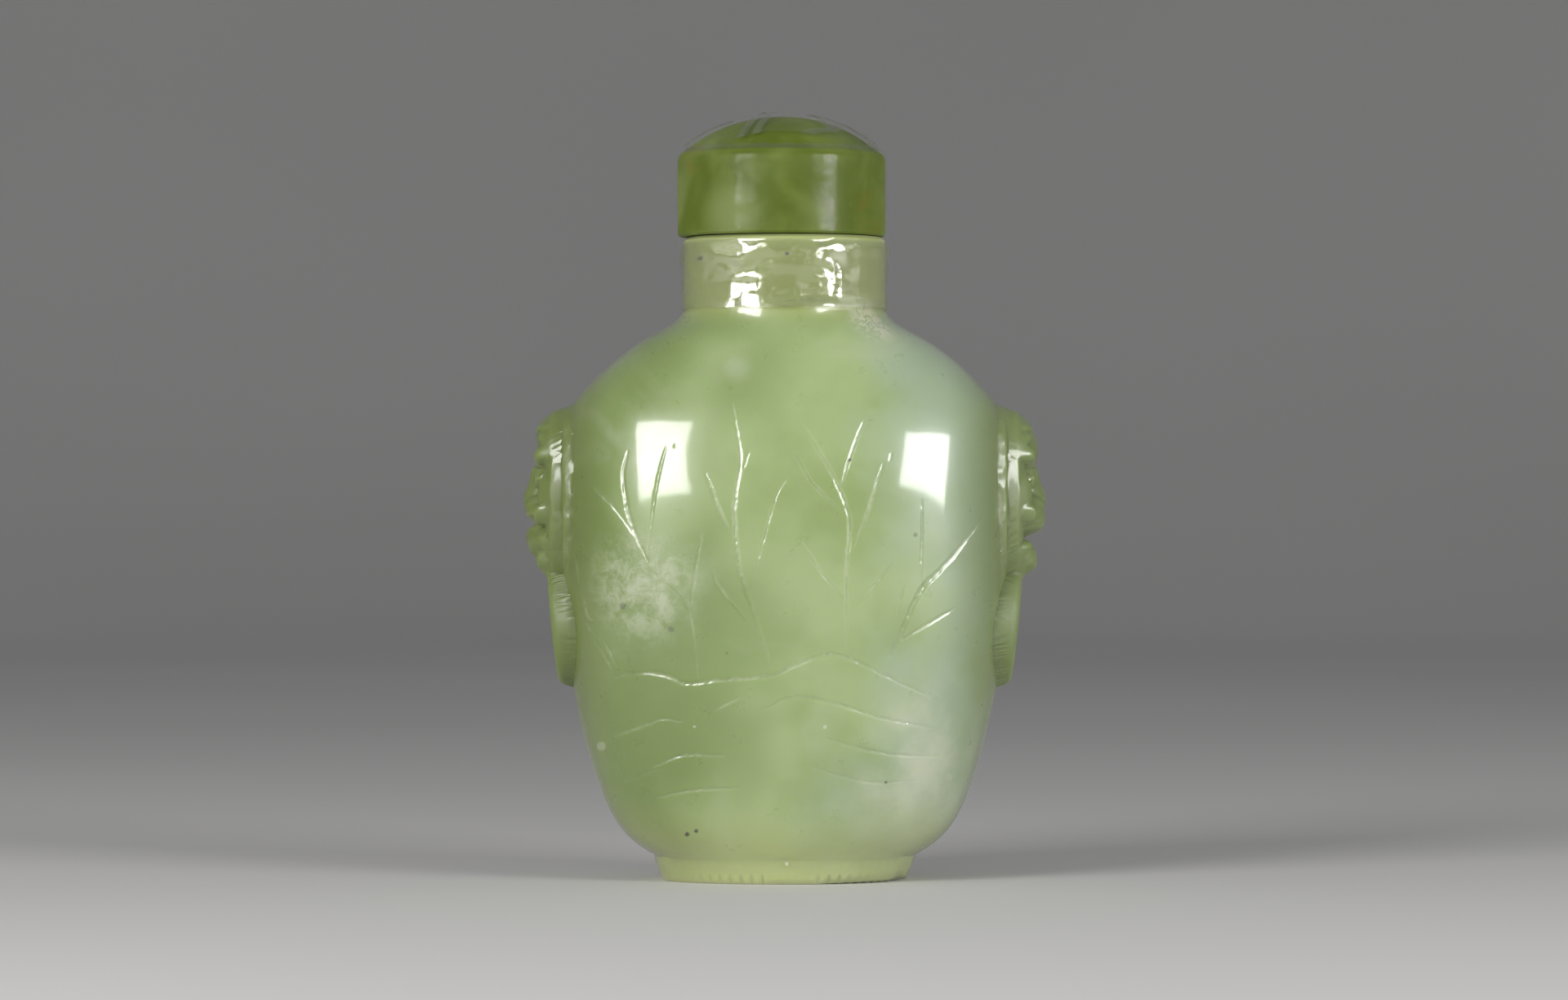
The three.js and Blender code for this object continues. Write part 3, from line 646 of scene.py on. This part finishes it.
def incise(points, normals, outer, front):
    """Cuts the strokes into both broad faces, and returns how freshly cut each point is."""
    x, _, z = points.T
    wander = np.column_stack([noise(points, 0.5, 5.0), noise(points, 0.5, 9.0)]) * STROKE_WANDER
    depth = np.zeros(len(points))
    cut = np.zeros(len(points))
    for side, strokes in ((front & outer, FRONT_STROKES), (~front & outer, BACK_STROKES)):
        depth[side], cut[side] = groove(x[side] + wander[side, 0], z[side] + wander[side, 1], strokes)
    rough = 1 + 0.5 * noise(points, 0.35, 2.0)
    points -= normals * (STROKE_CUT * depth * rough)[:, None]
    return cut * np.clip(0.55 + 0.6 * noise(points, 1.6, 6.0) + 0.35 * noise(points, 0.3, 1.0), 0, 1)


def speck_tone(points, shown):
    tone = np.zeros(len(points))
    x, z = points[:, 0] + 0.08 * noise(points, 0.3), points[:, 2] + 0.08 * noise(points, 0.3, 4.0)
    for x0, z0, radius, value in SPECKS:
        spread = np.hypot(x - x0, z - z0) / radius
        tone += np.where(shown, value * smoothstep(1.25 - spread, 0.0, 0.5), 0.0)
    return tone


def pit_grooves(points, outer, cut):
    """Small pits and scratches left by the tool in the groove beside each mask's band."""
    u, v = np.abs(points[:, 1]), points[:, 2]
    inside = (1 - mask_spread(u, v, RIM_HALF_WIDTH, RIM_HALF_HEIGHT)) * RIM_HALF_WIDTH
    beside = outer * (np.abs(points[:, 0]) > 17) * np.exp(-((inside + 0.1) / PIT_REACH) ** 2)
    beside *= 1 - smoothstep(np.abs(v - MASK_MIDDLE_Z), 5.0, 7.0)
    pits = beside * np.clip(0.25 + noise(points * [1, 1, 0.6], 0.45, 3.0), 0, 1)
    points[:, 1] -= np.sign(points[:, 1]) * PIT_DEPTH * pits
    np.maximum(cut, 0.9 * pits, out=cut)


# How far the foot's broad sides stand out at each height.
FOOT_FLARE_Z = [0.0, 0.3, 0.7, 1.1, 1.6, 2.0, 2.4, 2.8, 3.4]
FOOT_FLARE = [0.2, 0.39, 0.4, 0.28, 0.18, 0.22, 0.3, 0.14, 0.0]
FOOT_WEAR = 0.4
CHIP_DEPTH = 0.5


def shape_foot(points, outer):
    """Rounds the foot's broad sides out a little, and chips and wears its lower edge at the right end."""
    x, y, z = points.T.copy()
    on_foot = outer & (z < FOOT_FLARE_Z[-1])
    broad = smoothstep(np.abs(y), 4.0, 7.5)
    flare = np.interp(z, FOOT_FLARE_Z, FOOT_FLARE) * broad + 0.03 * noise(points, 1.5, 2.0)
    points[:, 1] = np.where(on_foot, y + np.sign(y) * flare * smoothstep(z, -0.2, 0.3), y)
    worn = FOOT_WEAR * smoothstep(x, 1.0, 11.0) * (1 - smoothstep(y, -4.0, 4.0))
    worn *= 1 - smoothstep(z, 0.0, 1.2)
    chip = np.clip(0.3 + 1.1 * noise(points, 0.9, 6.0), 0, 1) * smoothstep(x, 9.6, 11.0)
    chip *= 1 - smoothstep(z, 0.2, 2.2)
    points[:, 2] = np.where(on_foot, z + worn + CHIP_DEPTH / 2 * chip * (1 - smoothstep(z, 0.0, 1.0)), z)
    points[:, 0] = np.where(on_foot, points[:, 0] - CHIP_DEPTH * chip, points[:, 0])


# ---- The stopper ---------------------------------------------------------------

STOPPER_ROW_SPACING = 0.6
STOPPER_COLUMNS = 160


def make_stopper():
    plug_end = STOPPER_UNDERSIDE_Z - PLUG_LENGTH
    rows = [
        (0.0, plug_end),
        (PLUG_RADIUS - PLUG_CHAMFER, plug_end),
        (PLUG_RADIUS, plug_end + PLUG_CHAMFER),
        (PLUG_RADIUS, STOPPER_UNDERSIDE_Z),
        (STOPPER_RADIUS - STOPPER_UNDER_CHAMFER, STOPPER_UNDERSIDE_Z),
        *cap_profile(STOPPER_UNDERSIDE_Z + STOPPER_UNDER_CHAMFER, 0.0),
    ]
    outline = outline_rows([(r, r, z) for r, z in rows], ROUND, STOPPER_SHIFT_X)
    stations = stations_along(outline)
    corners = [1, 2, 3, 4, 5, 6]
    where, faces = first_grid(rows_for(outline, stations, corners, STOPPER_ROW_SPACING), STOPPER_COLUMNS)
    points = place_on(outline, stations, where)
    seen = smoothstep(points[:, 2], 60.0, 61.0)
    hand = 0.04 * noise(points, 5.0, 8.0) + 0.02 * noise(points, 2.0, 1.7)
    points += point_normals(points, faces) * (hand * seen)[:, None]
    return mesh_object("jade_stopper", points, faces)


def cap_profile(from_z, clearance):
    """Radius and height up the drum and over its rounded edge and dome, at a clearance outside them."""
    middle_z = STOPPER_SHOULDER_Z - STOPPER_EDGE_ROUND
    reach = STOPPER_EDGE_ROUND + clearance
    rows = [(STOPPER_RADIUS + clearance, from_z)]
    for degrees in range(0, 71, 7):
        angle = math.radians(degrees)
        inner = STOPPER_RADIUS - STOPPER_EDGE_ROUND
        rows.append((inner + reach * math.cos(angle), middle_z + reach * math.sin(angle)))
    rim_radius, rim_z = rows[-1]
    rise = STOPPER_TOP_Z + clearance - rim_z
    sphere = (rim_radius ** 2 + rise ** 2) / (2 * rise)
    for share in np.linspace(0.95, 0.0, 20):
        radius = rim_radius * share
        rows.append((radius, STOPPER_TOP_Z + clearance - sphere + math.sqrt(sphere ** 2 - radius ** 2)))
    return rows


# ---- The clear film ----------------------------------------------------------

FILM_THICKNESS = 0.05
FILM_EDGE_Z = 66.9
FILM_CLEARANCE = 0.06
BAND_ROWS = 84
BAND_COLUMNS = 320
BULGE_Z = LIP_Z - 1.5  # where the band stands off below the stopper
TENT_Z = 60.6  # where it stands off the drum on the left
TENT_LIFT = 0.3
SKIRT_Z = FILM_LOWER_EDGE_Z + 1.1  # below this the band flares out


def shell(points, thickness, closes):
    """A thin closed skin over a grid of points, whose rows may close on themselves."""
    rows, columns = points.shape[:2]
    if closes:
        along = np.roll(points, -1, axis=1) - np.roll(points, 1, axis=1)
    else:
        along = np.gradient(points, axis=1)
    up = np.gradient(points, axis=0)
    normals = np.cross(along, up)
    normals /= np.linalg.norm(normals, axis=2, keepdims=True)
    half = normals * thickness / 2
    vertices = np.concatenate([(points + half).reshape(-1, 3), (points - half).reshape(-1, 3)])
    index = np.arange(rows * columns).reshape(rows, columns)
    if closes:
        index = np.column_stack([index, index[:, 0]])
    a, b, c, d = index[:-1, :-1], index[:-1, 1:], index[1:, 1:], index[1:, :-1]
    outer = np.stack([a, b, c, d], axis=-1).reshape(-1, 4)
    back = rows * columns
    inner = outer[:, ::-1] + back
    edges = [(index[0, 1:], index[0, :-1]), (index[-1, :-1], index[-1, 1:])]
    if not closes:
        edges += [(index[:-1, 0], index[1:, 0]), (index[1:, -1], index[:-1, -1])]
    rims = [np.column_stack([p, q, q + back, p + back]) for p, q in edges]
    return vertices, np.vstack([outer, inner, *rims])


def folds(points, cell, shift=0.0):
    """1 along sharp creases, falling to 0 in the flat patches between them."""
    return 1 - np.abs(noise(points, cell, shift)) * 1.6


def band_profile():
    """Radius and height at even steps up the band, which follows the neck and then the drum."""
    profile = [(NECK_RADIUS, FILM_LOWER_EDGE_Z), (NECK_RADIUS, LIP_Z - 0.5)]
    profile += [r for r in cap_profile(STOPPER_UNDERSIDE_Z + 0.1, 0.0) if r[1] <= FILM_EDGE_Z]
    profile = np.array(profile)
    lengths = np.concatenate([[0.0], np.cumsum(np.linalg.norm(np.diff(profile, axis=0), axis=1))])
    steps = np.linspace(0.0, lengths[-1], BAND_ROWS)
    return np.interp(steps, lengths, profile[:, 0]), np.interp(steps, lengths, profile[:, 1])


def band_grid():
    """The film wound round the neck and the stopper's drum, and how loose it is at each point."""
    radius, z = band_profile()
    angle = 2 * math.pi * np.arange(BAND_COLUMNS) / BAND_COLUMNS
    zz = np.repeat(z[:, None], BAND_COLUMNS, axis=1)
    around = np.column_stack([np.cos(angle), np.sin(angle)]) * NECK_RADIUS
    flat = np.column_stack([np.tile(around, (BAND_ROWS, 1)), zz.ravel()])
    shape = zz.shape
    on_neck = 1 - smoothstep(zz, LIP_Z - 0.9, LIP_Z - 0.1)
    wave = noise(flat, 3.6, 7.0).reshape(shape)
    drift = 0.7 * noise(flat * [1, 1, 0], 4.0, 2.0).reshape(shape)
    crinkle = 0.2 * folds(flat, 2.9) + 0.08 * folds(flat, 1.3, 4.0) + 0.03 * folds(flat, 0.6, 8.0)
    crinkle = np.clip(crinkle.reshape(shape), 0, 1) * (0.15 + 0.85 * on_neck)
    bulge = np.exp(-((zz - BULGE_Z + drift) / 0.8) ** 2) * np.clip(0.16 + 0.16 * wave, 0, 1)
    tent = np.exp(-((zz - TENT_Z) / 1.2) ** 2) * TENT_LIFT * smoothstep(-np.cos(angle), 0.75, 1.0)
    skirt = smoothstep(zz, SKIRT_Z + 0.4 * drift, SKIRT_Z - 1.2) * np.clip(0.26 + 0.16 * wave, 0, 1)
    pleat = 0.16 * folds(flat * [1, 1, 0.2], 1.6, 2.0).reshape(shape)
    pleat *= smoothstep(zz, FILM_EDGE_Z - 0.9, FILM_EDGE_Z - 0.1)
    lift = FILM_CLEARANCE + crinkle + bulge + tent + skirt + np.clip(pleat, 0, 1)
    reach = radius[:, None] + lift
    shift = STOPPER_SHIFT_X * smoothstep(zz, LIP_Z - 1, LIP_Z + 0.6)
    points = np.stack([shift + reach * np.cos(angle), reach * np.sin(angle), zz], axis=-1)
    points[-1, :, 2] += 0.12 * folds(flat, 2.0, 3.0).reshape(shape)[-1]
    points[0, :, 2] += 0.1 * noise(flat, 0.8, 3.0).reshape(shape)[0]
    loose_edge = 0.5 * smoothstep(zz, FILM_EDGE_Z - 0.8, FILM_EDGE_Z - 0.2)
    return points, np.clip(on_neck + loose_edge, 0, 1)


STRIP_HALF_WIDTH = 7.3
STRIP_END_Z = (60.2, 60.8)  # how far down it reaches on the left and on the right
STRIP_CORNER = 0.33  # how much shorter its ends are towards their corners
STRIP_CLEARANCE = 0.3
STRIP_ACROSS = 72
STRIP_DOWN = 24
STRIP_OVER = 150
STRIP_CENTRE = (0.0, 0.0, 58.0)  # its creases stand away from here
# Sharp creases in it, as lines (x, y) seen from above, with their heights.
STRIP_CREASES = [
    ([(-1.5, -0.6), (-2.6, -4.2), (-3.7, -7.3)], 0.2),
    ([(-0.6, -0.8), (-1.4, -4.0), (-2.3, -7.2)], 0.16),
    ([(2.4, 0.6), (5.2, 0.2), (8.4, -0.2)], 0.22),
    ([(2.6, -2.4), (3.6, -3.9), (4.8, -5.1)], 0.22),
    ([(4.8, -5.1), (5.7, -1.4)], 0.18),
    ([(2.1, -7.3), (4.8, -5.1)], 0.2),
    ([(5.7, -1.4), (8.6, -3.5)], 0.16),
    ([(-4.5, 1.0), (-8.6, -0.8)], 0.2),
    ([(-2.0, 2.0), (-3.4, 7.0)], 0.18),
    ([(3.2, 2.4), (2.4, 7.2)], 0.18),
]
CREASE_HALF_WIDTH = 0.42


def strip_flat():
    """The strip before it is creased: up the left side, over the dome, and down the right side."""
    across = np.linspace(-STRIP_HALF_WIDTH, STRIP_HALF_WIDTH, STRIP_ACROSS)
    turn_z = STOPPER_SHOULDER_Z - STOPPER_EDGE_ROUND
    profile = np.array(cap_profile(LIP_Z, STRIP_CLEARANCE))
    dome = profile[profile[:, 1] > turn_z]
    top = dome[np.argsort(dome[:, 0])]
    half_chord = np.sqrt((STOPPER_RADIUS + STRIP_CLEARANCE) ** 2 - across ** 2)
    sides = []
    for end, sign in zip(STRIP_END_Z, (-1, 1)):
        lowest = end + STRIP_CORNER * np.abs(across)
        side = [np.column_stack([sign * half_chord, across, lowest + (turn_z - lowest) * share])
                for share in np.linspace(0, 1, STRIP_DOWN)]
        sides.append(side if sign < 0 else side[::-1])
    over = []
    for share in np.linspace(-1, 1, STRIP_OVER)[1:-1]:
        x = half_chord * math.sin(share * math.pi / 2)
        z = np.interp(np.hypot(x, across), top[:, 0], top[:, 1])
        over.append(np.column_stack([x, across, z]))
    return np.array([*sides[0], *over, *sides[1]])


def strip_grid():
    """The film laid over the dome from the left side to the right, and how loose it is at each point."""
    points = strip_flat()
    shape = points.shape[:2]
    flat = points.reshape(-1, 3)
    lift = 0.07 * folds(flat * [0.6, 1, 1], 3.0, 1.0) + 0.03 * folds(flat, 1.2, 6.0)
    lift = np.clip(lift, 0, 1) * smoothstep(flat[:, 2], STOPPER_SHOULDER_Z - 1.5, STOPPER_SHOULDER_Z + 0.5)
    loose = np.zeros(len(flat))
    on_dome = smoothstep(flat[:, 2], STOPPER_SHOULDER_Z - 0.7, STOPPER_SHOULDER_Z + 0.1)
    for line, height in STRIP_CREASES:
        off = to_line(flat[:, 0], flat[:, 1], smooth_line(line))[0].min(axis=1)
        ridge = np.clip(1 - off / CREASE_HALF_WIDTH, 0, 1) * on_dome
        lift = np.maximum(lift, height * ridge)
        loose = np.maximum(loose, smoothstep(ridge, 0.0, 0.5))
    outward = points - STRIP_CENTRE
    outward /= np.linalg.norm(outward, axis=2, keepdims=True)
    points = points + outward * lift.reshape(shape)[..., None]
    points[..., 0] += STOPPER_SHIFT_X
    loose = np.clip(loose + 0.25 * on_dome, 0, 1).reshape(shape)
    return points[::-1], loose[::-1]


def make_film():
    vertices, faces, looseness, start = [], [], [], 0
    for (grid, loose), closes in ((band_grid(), True), (strip_grid(), False)):
        points, quads = shell(grid, FILM_THICKNESS, closes)
        vertices.append(points)
        faces.append(quads + start)
        looseness += [loose.ravel(), loose.ravel()]
        start += len(points)
    piece = mesh_object("clear_film", np.vstack(vertices), np.vstack(faces), 60.0)
    paint(piece, "loose", np.concatenate(looseness))
    return piece


# ---- Materials -----------------------------------------------------------------


class Graph:
    """A material's nodes, with one short call for each kind that the materials use."""

    def __init__(self, name):
        self.material = bpy.data.materials.new(name)
        self.material.use_nodes = True
        self.tree = self.material.node_tree
        self.shader = self.tree.nodes["Principled BSDF"]
        self.place = self.tree.nodes.new("ShaderNodeTexCoord").outputs["Object"]

    def put(self, socket, value):
        if isinstance(value, bpy.types.NodeSocket):
            self.tree.links.new(value, socket)
        else:
            socket.default_value = value

    def set(self, **values):
        for name, value in values.items():
            self.put(self.shader.inputs[name.replace("_", " ")], value)

    def node(self, kind, inputs, **settings):
        made = self.tree.nodes.new(kind)
        for name, value in settings.items():
            setattr(made, name, value)
        for name, value in inputs.items():
            self.put(made.inputs[name], value)
        return made

    def noise(self, scale, detail=2.0, roughness=0.5, distortion=0.0, place=None):
        inputs = {
            "Vector": place or self.place, "Scale": scale, "Detail": detail,
            "Roughness": roughness, "Distortion": distortion,
        }
        return self.node("ShaderNodeTexNoise", inputs).outputs["Fac"]

    def remap(self, value, low, high, to_low=0.0, to_high=1.0):
        inputs = {"Value": value, "From Min": low, "From Max": high, "To Min": to_low, "To Max": to_high}
        return self.node("ShaderNodeMapRange", inputs, interpolation_type="SMOOTHSTEP").outputs["Result"]

    def maths(self, operation, a, b=0.0):
        made = self.node("ShaderNodeMath", {0: a, 1: b}, operation=operation)
        return made.outputs[0]

    def axis(self, name):
        return self.node("ShaderNodeSeparateXYZ", {0: self.place}).outputs[name]

    def mix(self, factor, a, b):
        made = self.node("ShaderNodeMix", {0: factor, 6: a, 7: b}, data_type="RGBA")
        return made.outputs[2]

    def near(self, centre, full, none):
        """1 within one distance of a point, given in millimetres, and 0 beyond another."""
        middle = tuple(c * MM for c in centre)
        away = self.node("ShaderNodeVectorMath", {0: self.place, 1: middle}, operation="DISTANCE")
        return self.remap(away.outputs["Value"], none * MM, full * MM)

    def attribute(self, name):
        return self.node("ShaderNodeAttribute", {}, attribute_name=name).outputs["Fac"]

    def bump(self, height, depth, strength=1.0):
        made = self.node("ShaderNodeBump", {"Height": height, "Distance": depth * MM, "Strength": strength})
        self.put(self.shader.inputs["Normal"], made.outputs["Normal"])


def rgb(red, green, blue):
    return (red, green, blue, 1.0)


def jade(graph, colour, depth, roughness):
    """Polished stone that light enters, to about a depth in millimetres."""
    graph.set(
        Base_Color=colour, Subsurface_Weight=1.0, Subsurface_Radius=(1.0, 1.2, 0.55),
        Subsurface_Scale=depth * MM, IOR=1.6, Roughness=roughness,
    )
    graph.bump(graph.noise(260.0, 2.0, 0.5), 0.012, 0.5)


def stone_colour_and_painted_light(g, x):
    """Greener and darker on the left and paler on the right, partly painted shade and light; milky at the
    lower right with a painted reflection; yellower at the foot and neck; painted shade at the sides.
    """
    # Darker green on the left and paler, bluer on the right: partly the stone's own colour, partly painted
    # shade on the left and painted light on the right.
    shifted = g.maths("ADD", x, g.remap(g.noise(55.0, 2.0), 0.3, 0.7, -7.0, 7.0))
    colour = g.mix(g.remap(shifted, -16.0, -1.0), rgb(0.22, 0.3, 0.088), rgb(0.385, 0.48, 0.225))
    colour = g.mix(g.remap(shifted, 3.0, 15.0), colour, rgb(0.37, 0.465, 0.31))
    patches = g.remap(g.noise(95.0, 3.0, 0.55), 0.46, 0.68, 0.0, 0.55)
    colour = g.mix(patches, colour, rgb(0.27, 0.36, 0.12))
    milky = g.remap(g.noise(70.0, 4.0, 0.6, 0.6), 0.52, 0.75, 0.0, 0.5)
    colour = g.mix(milky, colour, rgb(0.5, 0.55, 0.38))
    # A milky cloud in the stone at the lower right, with a painted reflection of a pale side laid over it.
    cloud_and_painted_reflection = g.remap(g.noise(140.0, 4.0, 0.6), 0.3, 0.7, 0.0, 0.95)
    cloud_and_painted_reflection = g.maths("MULTIPLY", g.near((13.0, -10.0, 11.0), 2.0, 11.0), cloud_and_painted_reflection)
    colour = g.mix(cloud_and_painted_reflection, colour, rgb(0.58, 0.62, 0.47))
    colour = g.mix(g.remap(g.axis("Z"), 9 * MM, 0.0, 0.0, 0.7), colour, rgb(0.47, 0.5, 0.22))
    colour = g.mix(g.remap(g.axis("Z"), 50 * MM, 53 * MM, 0.0, 0.8), colour, rgb(0.37, 0.42, 0.13))
    # Painted shade: the left side and its mask made darker still.
    colour = g.mix(g.remap(x, -16.5, -20.5, 0.0, 0.6), colour, rgb(0.12, 0.16, 0.035))
    # Painted shade: both narrow sides made darker towards their edges.
    outwards = g.maths("ABSOLUTE", x)
    return g.mix(g.remap(outwards, 14.0, 20.5, 0.0, 0.85), colour, rgb(0.175, 0.225, 0.06))


def stone_marks(g, colour, cut):
    """Dust by the neck, a wispy cloud at the left, a faint spot high up, the cut strokes and the specks."""
    dust = g.remap(g.noise(900.0, 4.0, 0.8, 1.5), 0.44, 0.54, 0.0, 0.9)
    dust = g.maths("MULTIPLY", g.near((8.0, -6.5, 51.0), 1.0, 3.2), dust)
    colour = g.mix(dust, colour, rgb(0.62, 0.64, 0.46))
    wisps = g.remap(g.noise(480.0, 6.0, 0.75, 0.3), 0.4, 0.64, 0.0, 0.8)
    cloud = g.maths("MULTIPLY", g.near((-12.5, -10.5, 27.2), 1.5, 7.0), wisps)
    colour = g.mix(cloud, colour, rgb(0.52, 0.56, 0.4))
    faint = g.maths("MULTIPLY", g.near((-4.2, -10.3, 46.4), 0.3, 1.8), 0.35)
    colour = g.mix(faint, colour, rgb(0.5, 0.56, 0.4))
    colour = g.mix(g.maths("MULTIPLY", cut, 0.28), colour, rgb(0.55, 0.58, 0.38))
    tone = g.attribute("tone")
    colour = g.mix(g.remap(tone, 0.0, 1.0), colour, rgb(0.68, 0.7, 0.55))
    return g.mix(g.remap(tone, 0.0, -1.0), colour, rgb(0.1, 0.095, 0.065))


def pale_jade():
    g = Graph("pale_jade")
    x = g.maths("MULTIPLY", g.axis("X"), 1 / MM)
    cut = g.attribute("cut")
    dull = g.maths("MAXIMUM", g.maths("MULTIPLY", cut, 0.6), g.attribute("matt"))
    polish = g.remap(g.noise(420.0, 4.0, 0.7), 0.3, 0.75, 0.27, 0.38)
    roughness = g.maths("ADD", polish, g.maths("MULTIPLY", dull, 0.3))
    jade(g, stone_marks(g, stone_colour_and_painted_light(g, x), cut), 1.2, roughness)
    g.set(Coat_Weight=g.remap(g.maths("ABSOLUTE", x), 17.0, 19.5, 1.0, 0.45), Coat_IOR=1.6)
    g.set(Coat_Roughness=g.remap(dull, 0.0, 1.0, 0.09, 0.7))
    return g.material


def dark_jade():
    g = Graph("dark_jade")
    mottle = g.remap(g.noise(170.0, 4.0, 0.6, 0.5), 0.38, 0.66)
    colour = g.mix(mottle, rgb(0.105, 0.15, 0.01), rgb(0.15, 0.2, 0.03))
    pale = g.remap(g.noise(120.0, 3.0, 0.6), 0.52, 0.75)
    pale = g.maths("MAXIMUM", g.maths("MULTIPLY", pale, 0.6), g.near((-5.2, -8.0, 60.6), 0.5, 4.0))
    colour = g.mix(pale, colour, rgb(0.21, 0.26, 0.075))
    corners = g.maths("MAXIMUM", g.near((7.8, -5.4, 60.2), 0.5, 3.0), g.near((-8.6, -4.0, 65.6), 0.5, 2.5))
    brown = g.maths("MULTIPLY", g.remap(g.noise(420.0, 5.0, 0.7), 0.45, 0.68), corners)
    colour = g.mix(g.maths("MULTIPLY", brown, 0.8), colour, rgb(0.23, 0.17, 0.015))
    flecks = g.remap(g.noise(750.0, 4.0, 0.75, 1.0), 0.64, 0.74)
    colour = g.mix(g.maths("MULTIPLY", flecks, 0.5), colour, rgb(0.33, 0.36, 0.15))
    jade(g, colour, 0.7, g.remap(g.noise(420.0, 4.0, 0.7), 0.3, 0.75, 0.42, 0.6))
    g.set(Specular_IOR_Level=0.2)
    return g.material


def clear_film():
    g = Graph("clear_film")
    g.set(Base_Color=rgb(0.97, 0.96, 0.86), Transmission_Weight=1.0, IOR=2.4)
    scuffed = g.remap(g.noise(260.0, 4.0, 0.7), 0.45, 0.7)
    g.set(Alpha=g.remap(g.attribute("loose"), 0.0, 1.0, 0.012, 0.38))
    g.set(Roughness=g.maths("ADD", g.maths("MULTIPLY", scuffed, 0.1), 0.03))
    g.bump(g.noise(1500.0, 4.0, 0.7), 0.025, 0.8)
    return g.material


# ---- Floor, lights and camera ----------------------------------------------------


FLOOR_FLAT = 900.0
FLOOR_RISE = 450.0
FLOOR_COLUMNS = 96


def make_floor():
    """A pale sheet that lies flat under the bottle and curves up all round, far away."""
    bend = [math.radians(a) for a in range(6, 91, 6)]
    profile = [(r, 0.0) for r in (60.0, 200.0, 500.0, FLOOR_FLAT)]
    profile += [(FLOOR_FLAT + FLOOR_RISE * math.sin(a), FLOOR_RISE * (1 - math.cos(a))) for a in bend]
    angles = 2 * math.pi * np.arange(FLOOR_COLUMNS) / FLOOR_COLUMNS
    around = np.column_stack([np.cos(angles), np.sin(angles)])
    rings = [np.column_stack([r * around, np.full(FLOOR_COLUMNS, z)]) for r, z in profile]
    points = np.vstack([[[0, 0, 0]], *rings])
    j = np.arange(FLOOR_COLUMNS)
    k = (j + 1) % FLOOR_COLUMNS
    faces = [np.column_stack([np.zeros_like(j), 1 + j, 1 + k])]
    for i in range(len(rings) - 1):
        a, b = 1 + FLOOR_COLUMNS * i, 1 + FLOOR_COLUMNS * (i + 1)
        faces += [np.column_stack([a + j, b + j, b + k]), np.column_stack([a + j, b + k, a + k])]
    floor = mesh_object("floor", points, np.vstack(faces), 80.0)
    g = Graph("pale_floor")
    grain = g.remap(g.noise(3.0, 2.0), 0.3, 0.7)
    g.set(Base_Color=g.mix(grain, rgb(0.62, 0.61, 0.6), rgb(0.66, 0.65, 0.64)), Roughness=0.85)
    floor.data.materials.append(g.material)


AIM = (0.0, 0.0, 0.036)
LIGHT_DISTANCE = 0.5


def soft_light(name, azimuth, elevation, size, power, roll):
    """A rectangular softbox, at an azimuth to the right of the camera's side, that faces the bottle."""
    data = bpy.data.lights.new(name, "AREA")
    data.shape = "RECTANGLE"
    data.size, data.size_y = size
    data.energy = power
    lamp = bpy.data.objects.new(name, data)
    a, e = math.radians(azimuth), math.radians(elevation)
    away = np.array([math.sin(a) * math.cos(e), -math.cos(a) * math.cos(e), math.sin(e)])
    lamp.location = away * LIGHT_DISTANCE + AIM
    facing = Euler((math.pi / 2 - e, 0.0, a)).to_matrix()
    lamp.rotation_euler = (facing @ Matrix.Rotation(math.radians(roll), 3, "Z")).to_euler()
    lamp.visible_camera = False
    bpy.context.scene.collection.objects.link(lamp)


CAMERA_PLACE = (-0.00007, -0.55, 0.0347)
CAMERA_LENS = 138.0


def make_camera():
    data = bpy.data.cameras.new("camera")
    data.lens = CAMERA_LENS
    data.sensor_width = 36.0
    data.clip_start = 0.01
    camera = bpy.data.objects.new("camera", data)
    camera.location = CAMERA_PLACE
    camera.rotation_euler = (math.pi / 2, 0.0, 0.0)
    bpy.context.scene.collection.objects.link(camera)
    bpy.context.scene.camera = camera


def light_room():
    world = bpy.data.worlds.new("pale_room")
    world.use_nodes = True
    background = world.node_tree.nodes["Background"]
    background.inputs["Color"].default_value = rgb(0.97, 0.98, 1.0)
    background.inputs["Strength"].default_value = 0.22
    bpy.context.scene.world = world
    soft_light("left_softbox", azimuth=-39.5, elevation=19.0, size=(0.23, 0.24), power=1.75, roll=8.0)
    soft_light("right_softbox", azimuth=48.7, elevation=14.0, size=(0.24, 0.17), power=1.35, roll=-14.0)
    bpy.context.scene.view_settings.view_transform = "Standard"


def dress(piece, material, node):
    piece.data.materials.append(material)
    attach(piece, "root")
    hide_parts(node)


make_camera()
light_room()
make_floor()
dress(make_bottle(), pale_jade(), "bottle")
dress(make_stopper(), dark_jade(), "stopper")
dress(make_film(), clear_film(), "clear_tape")
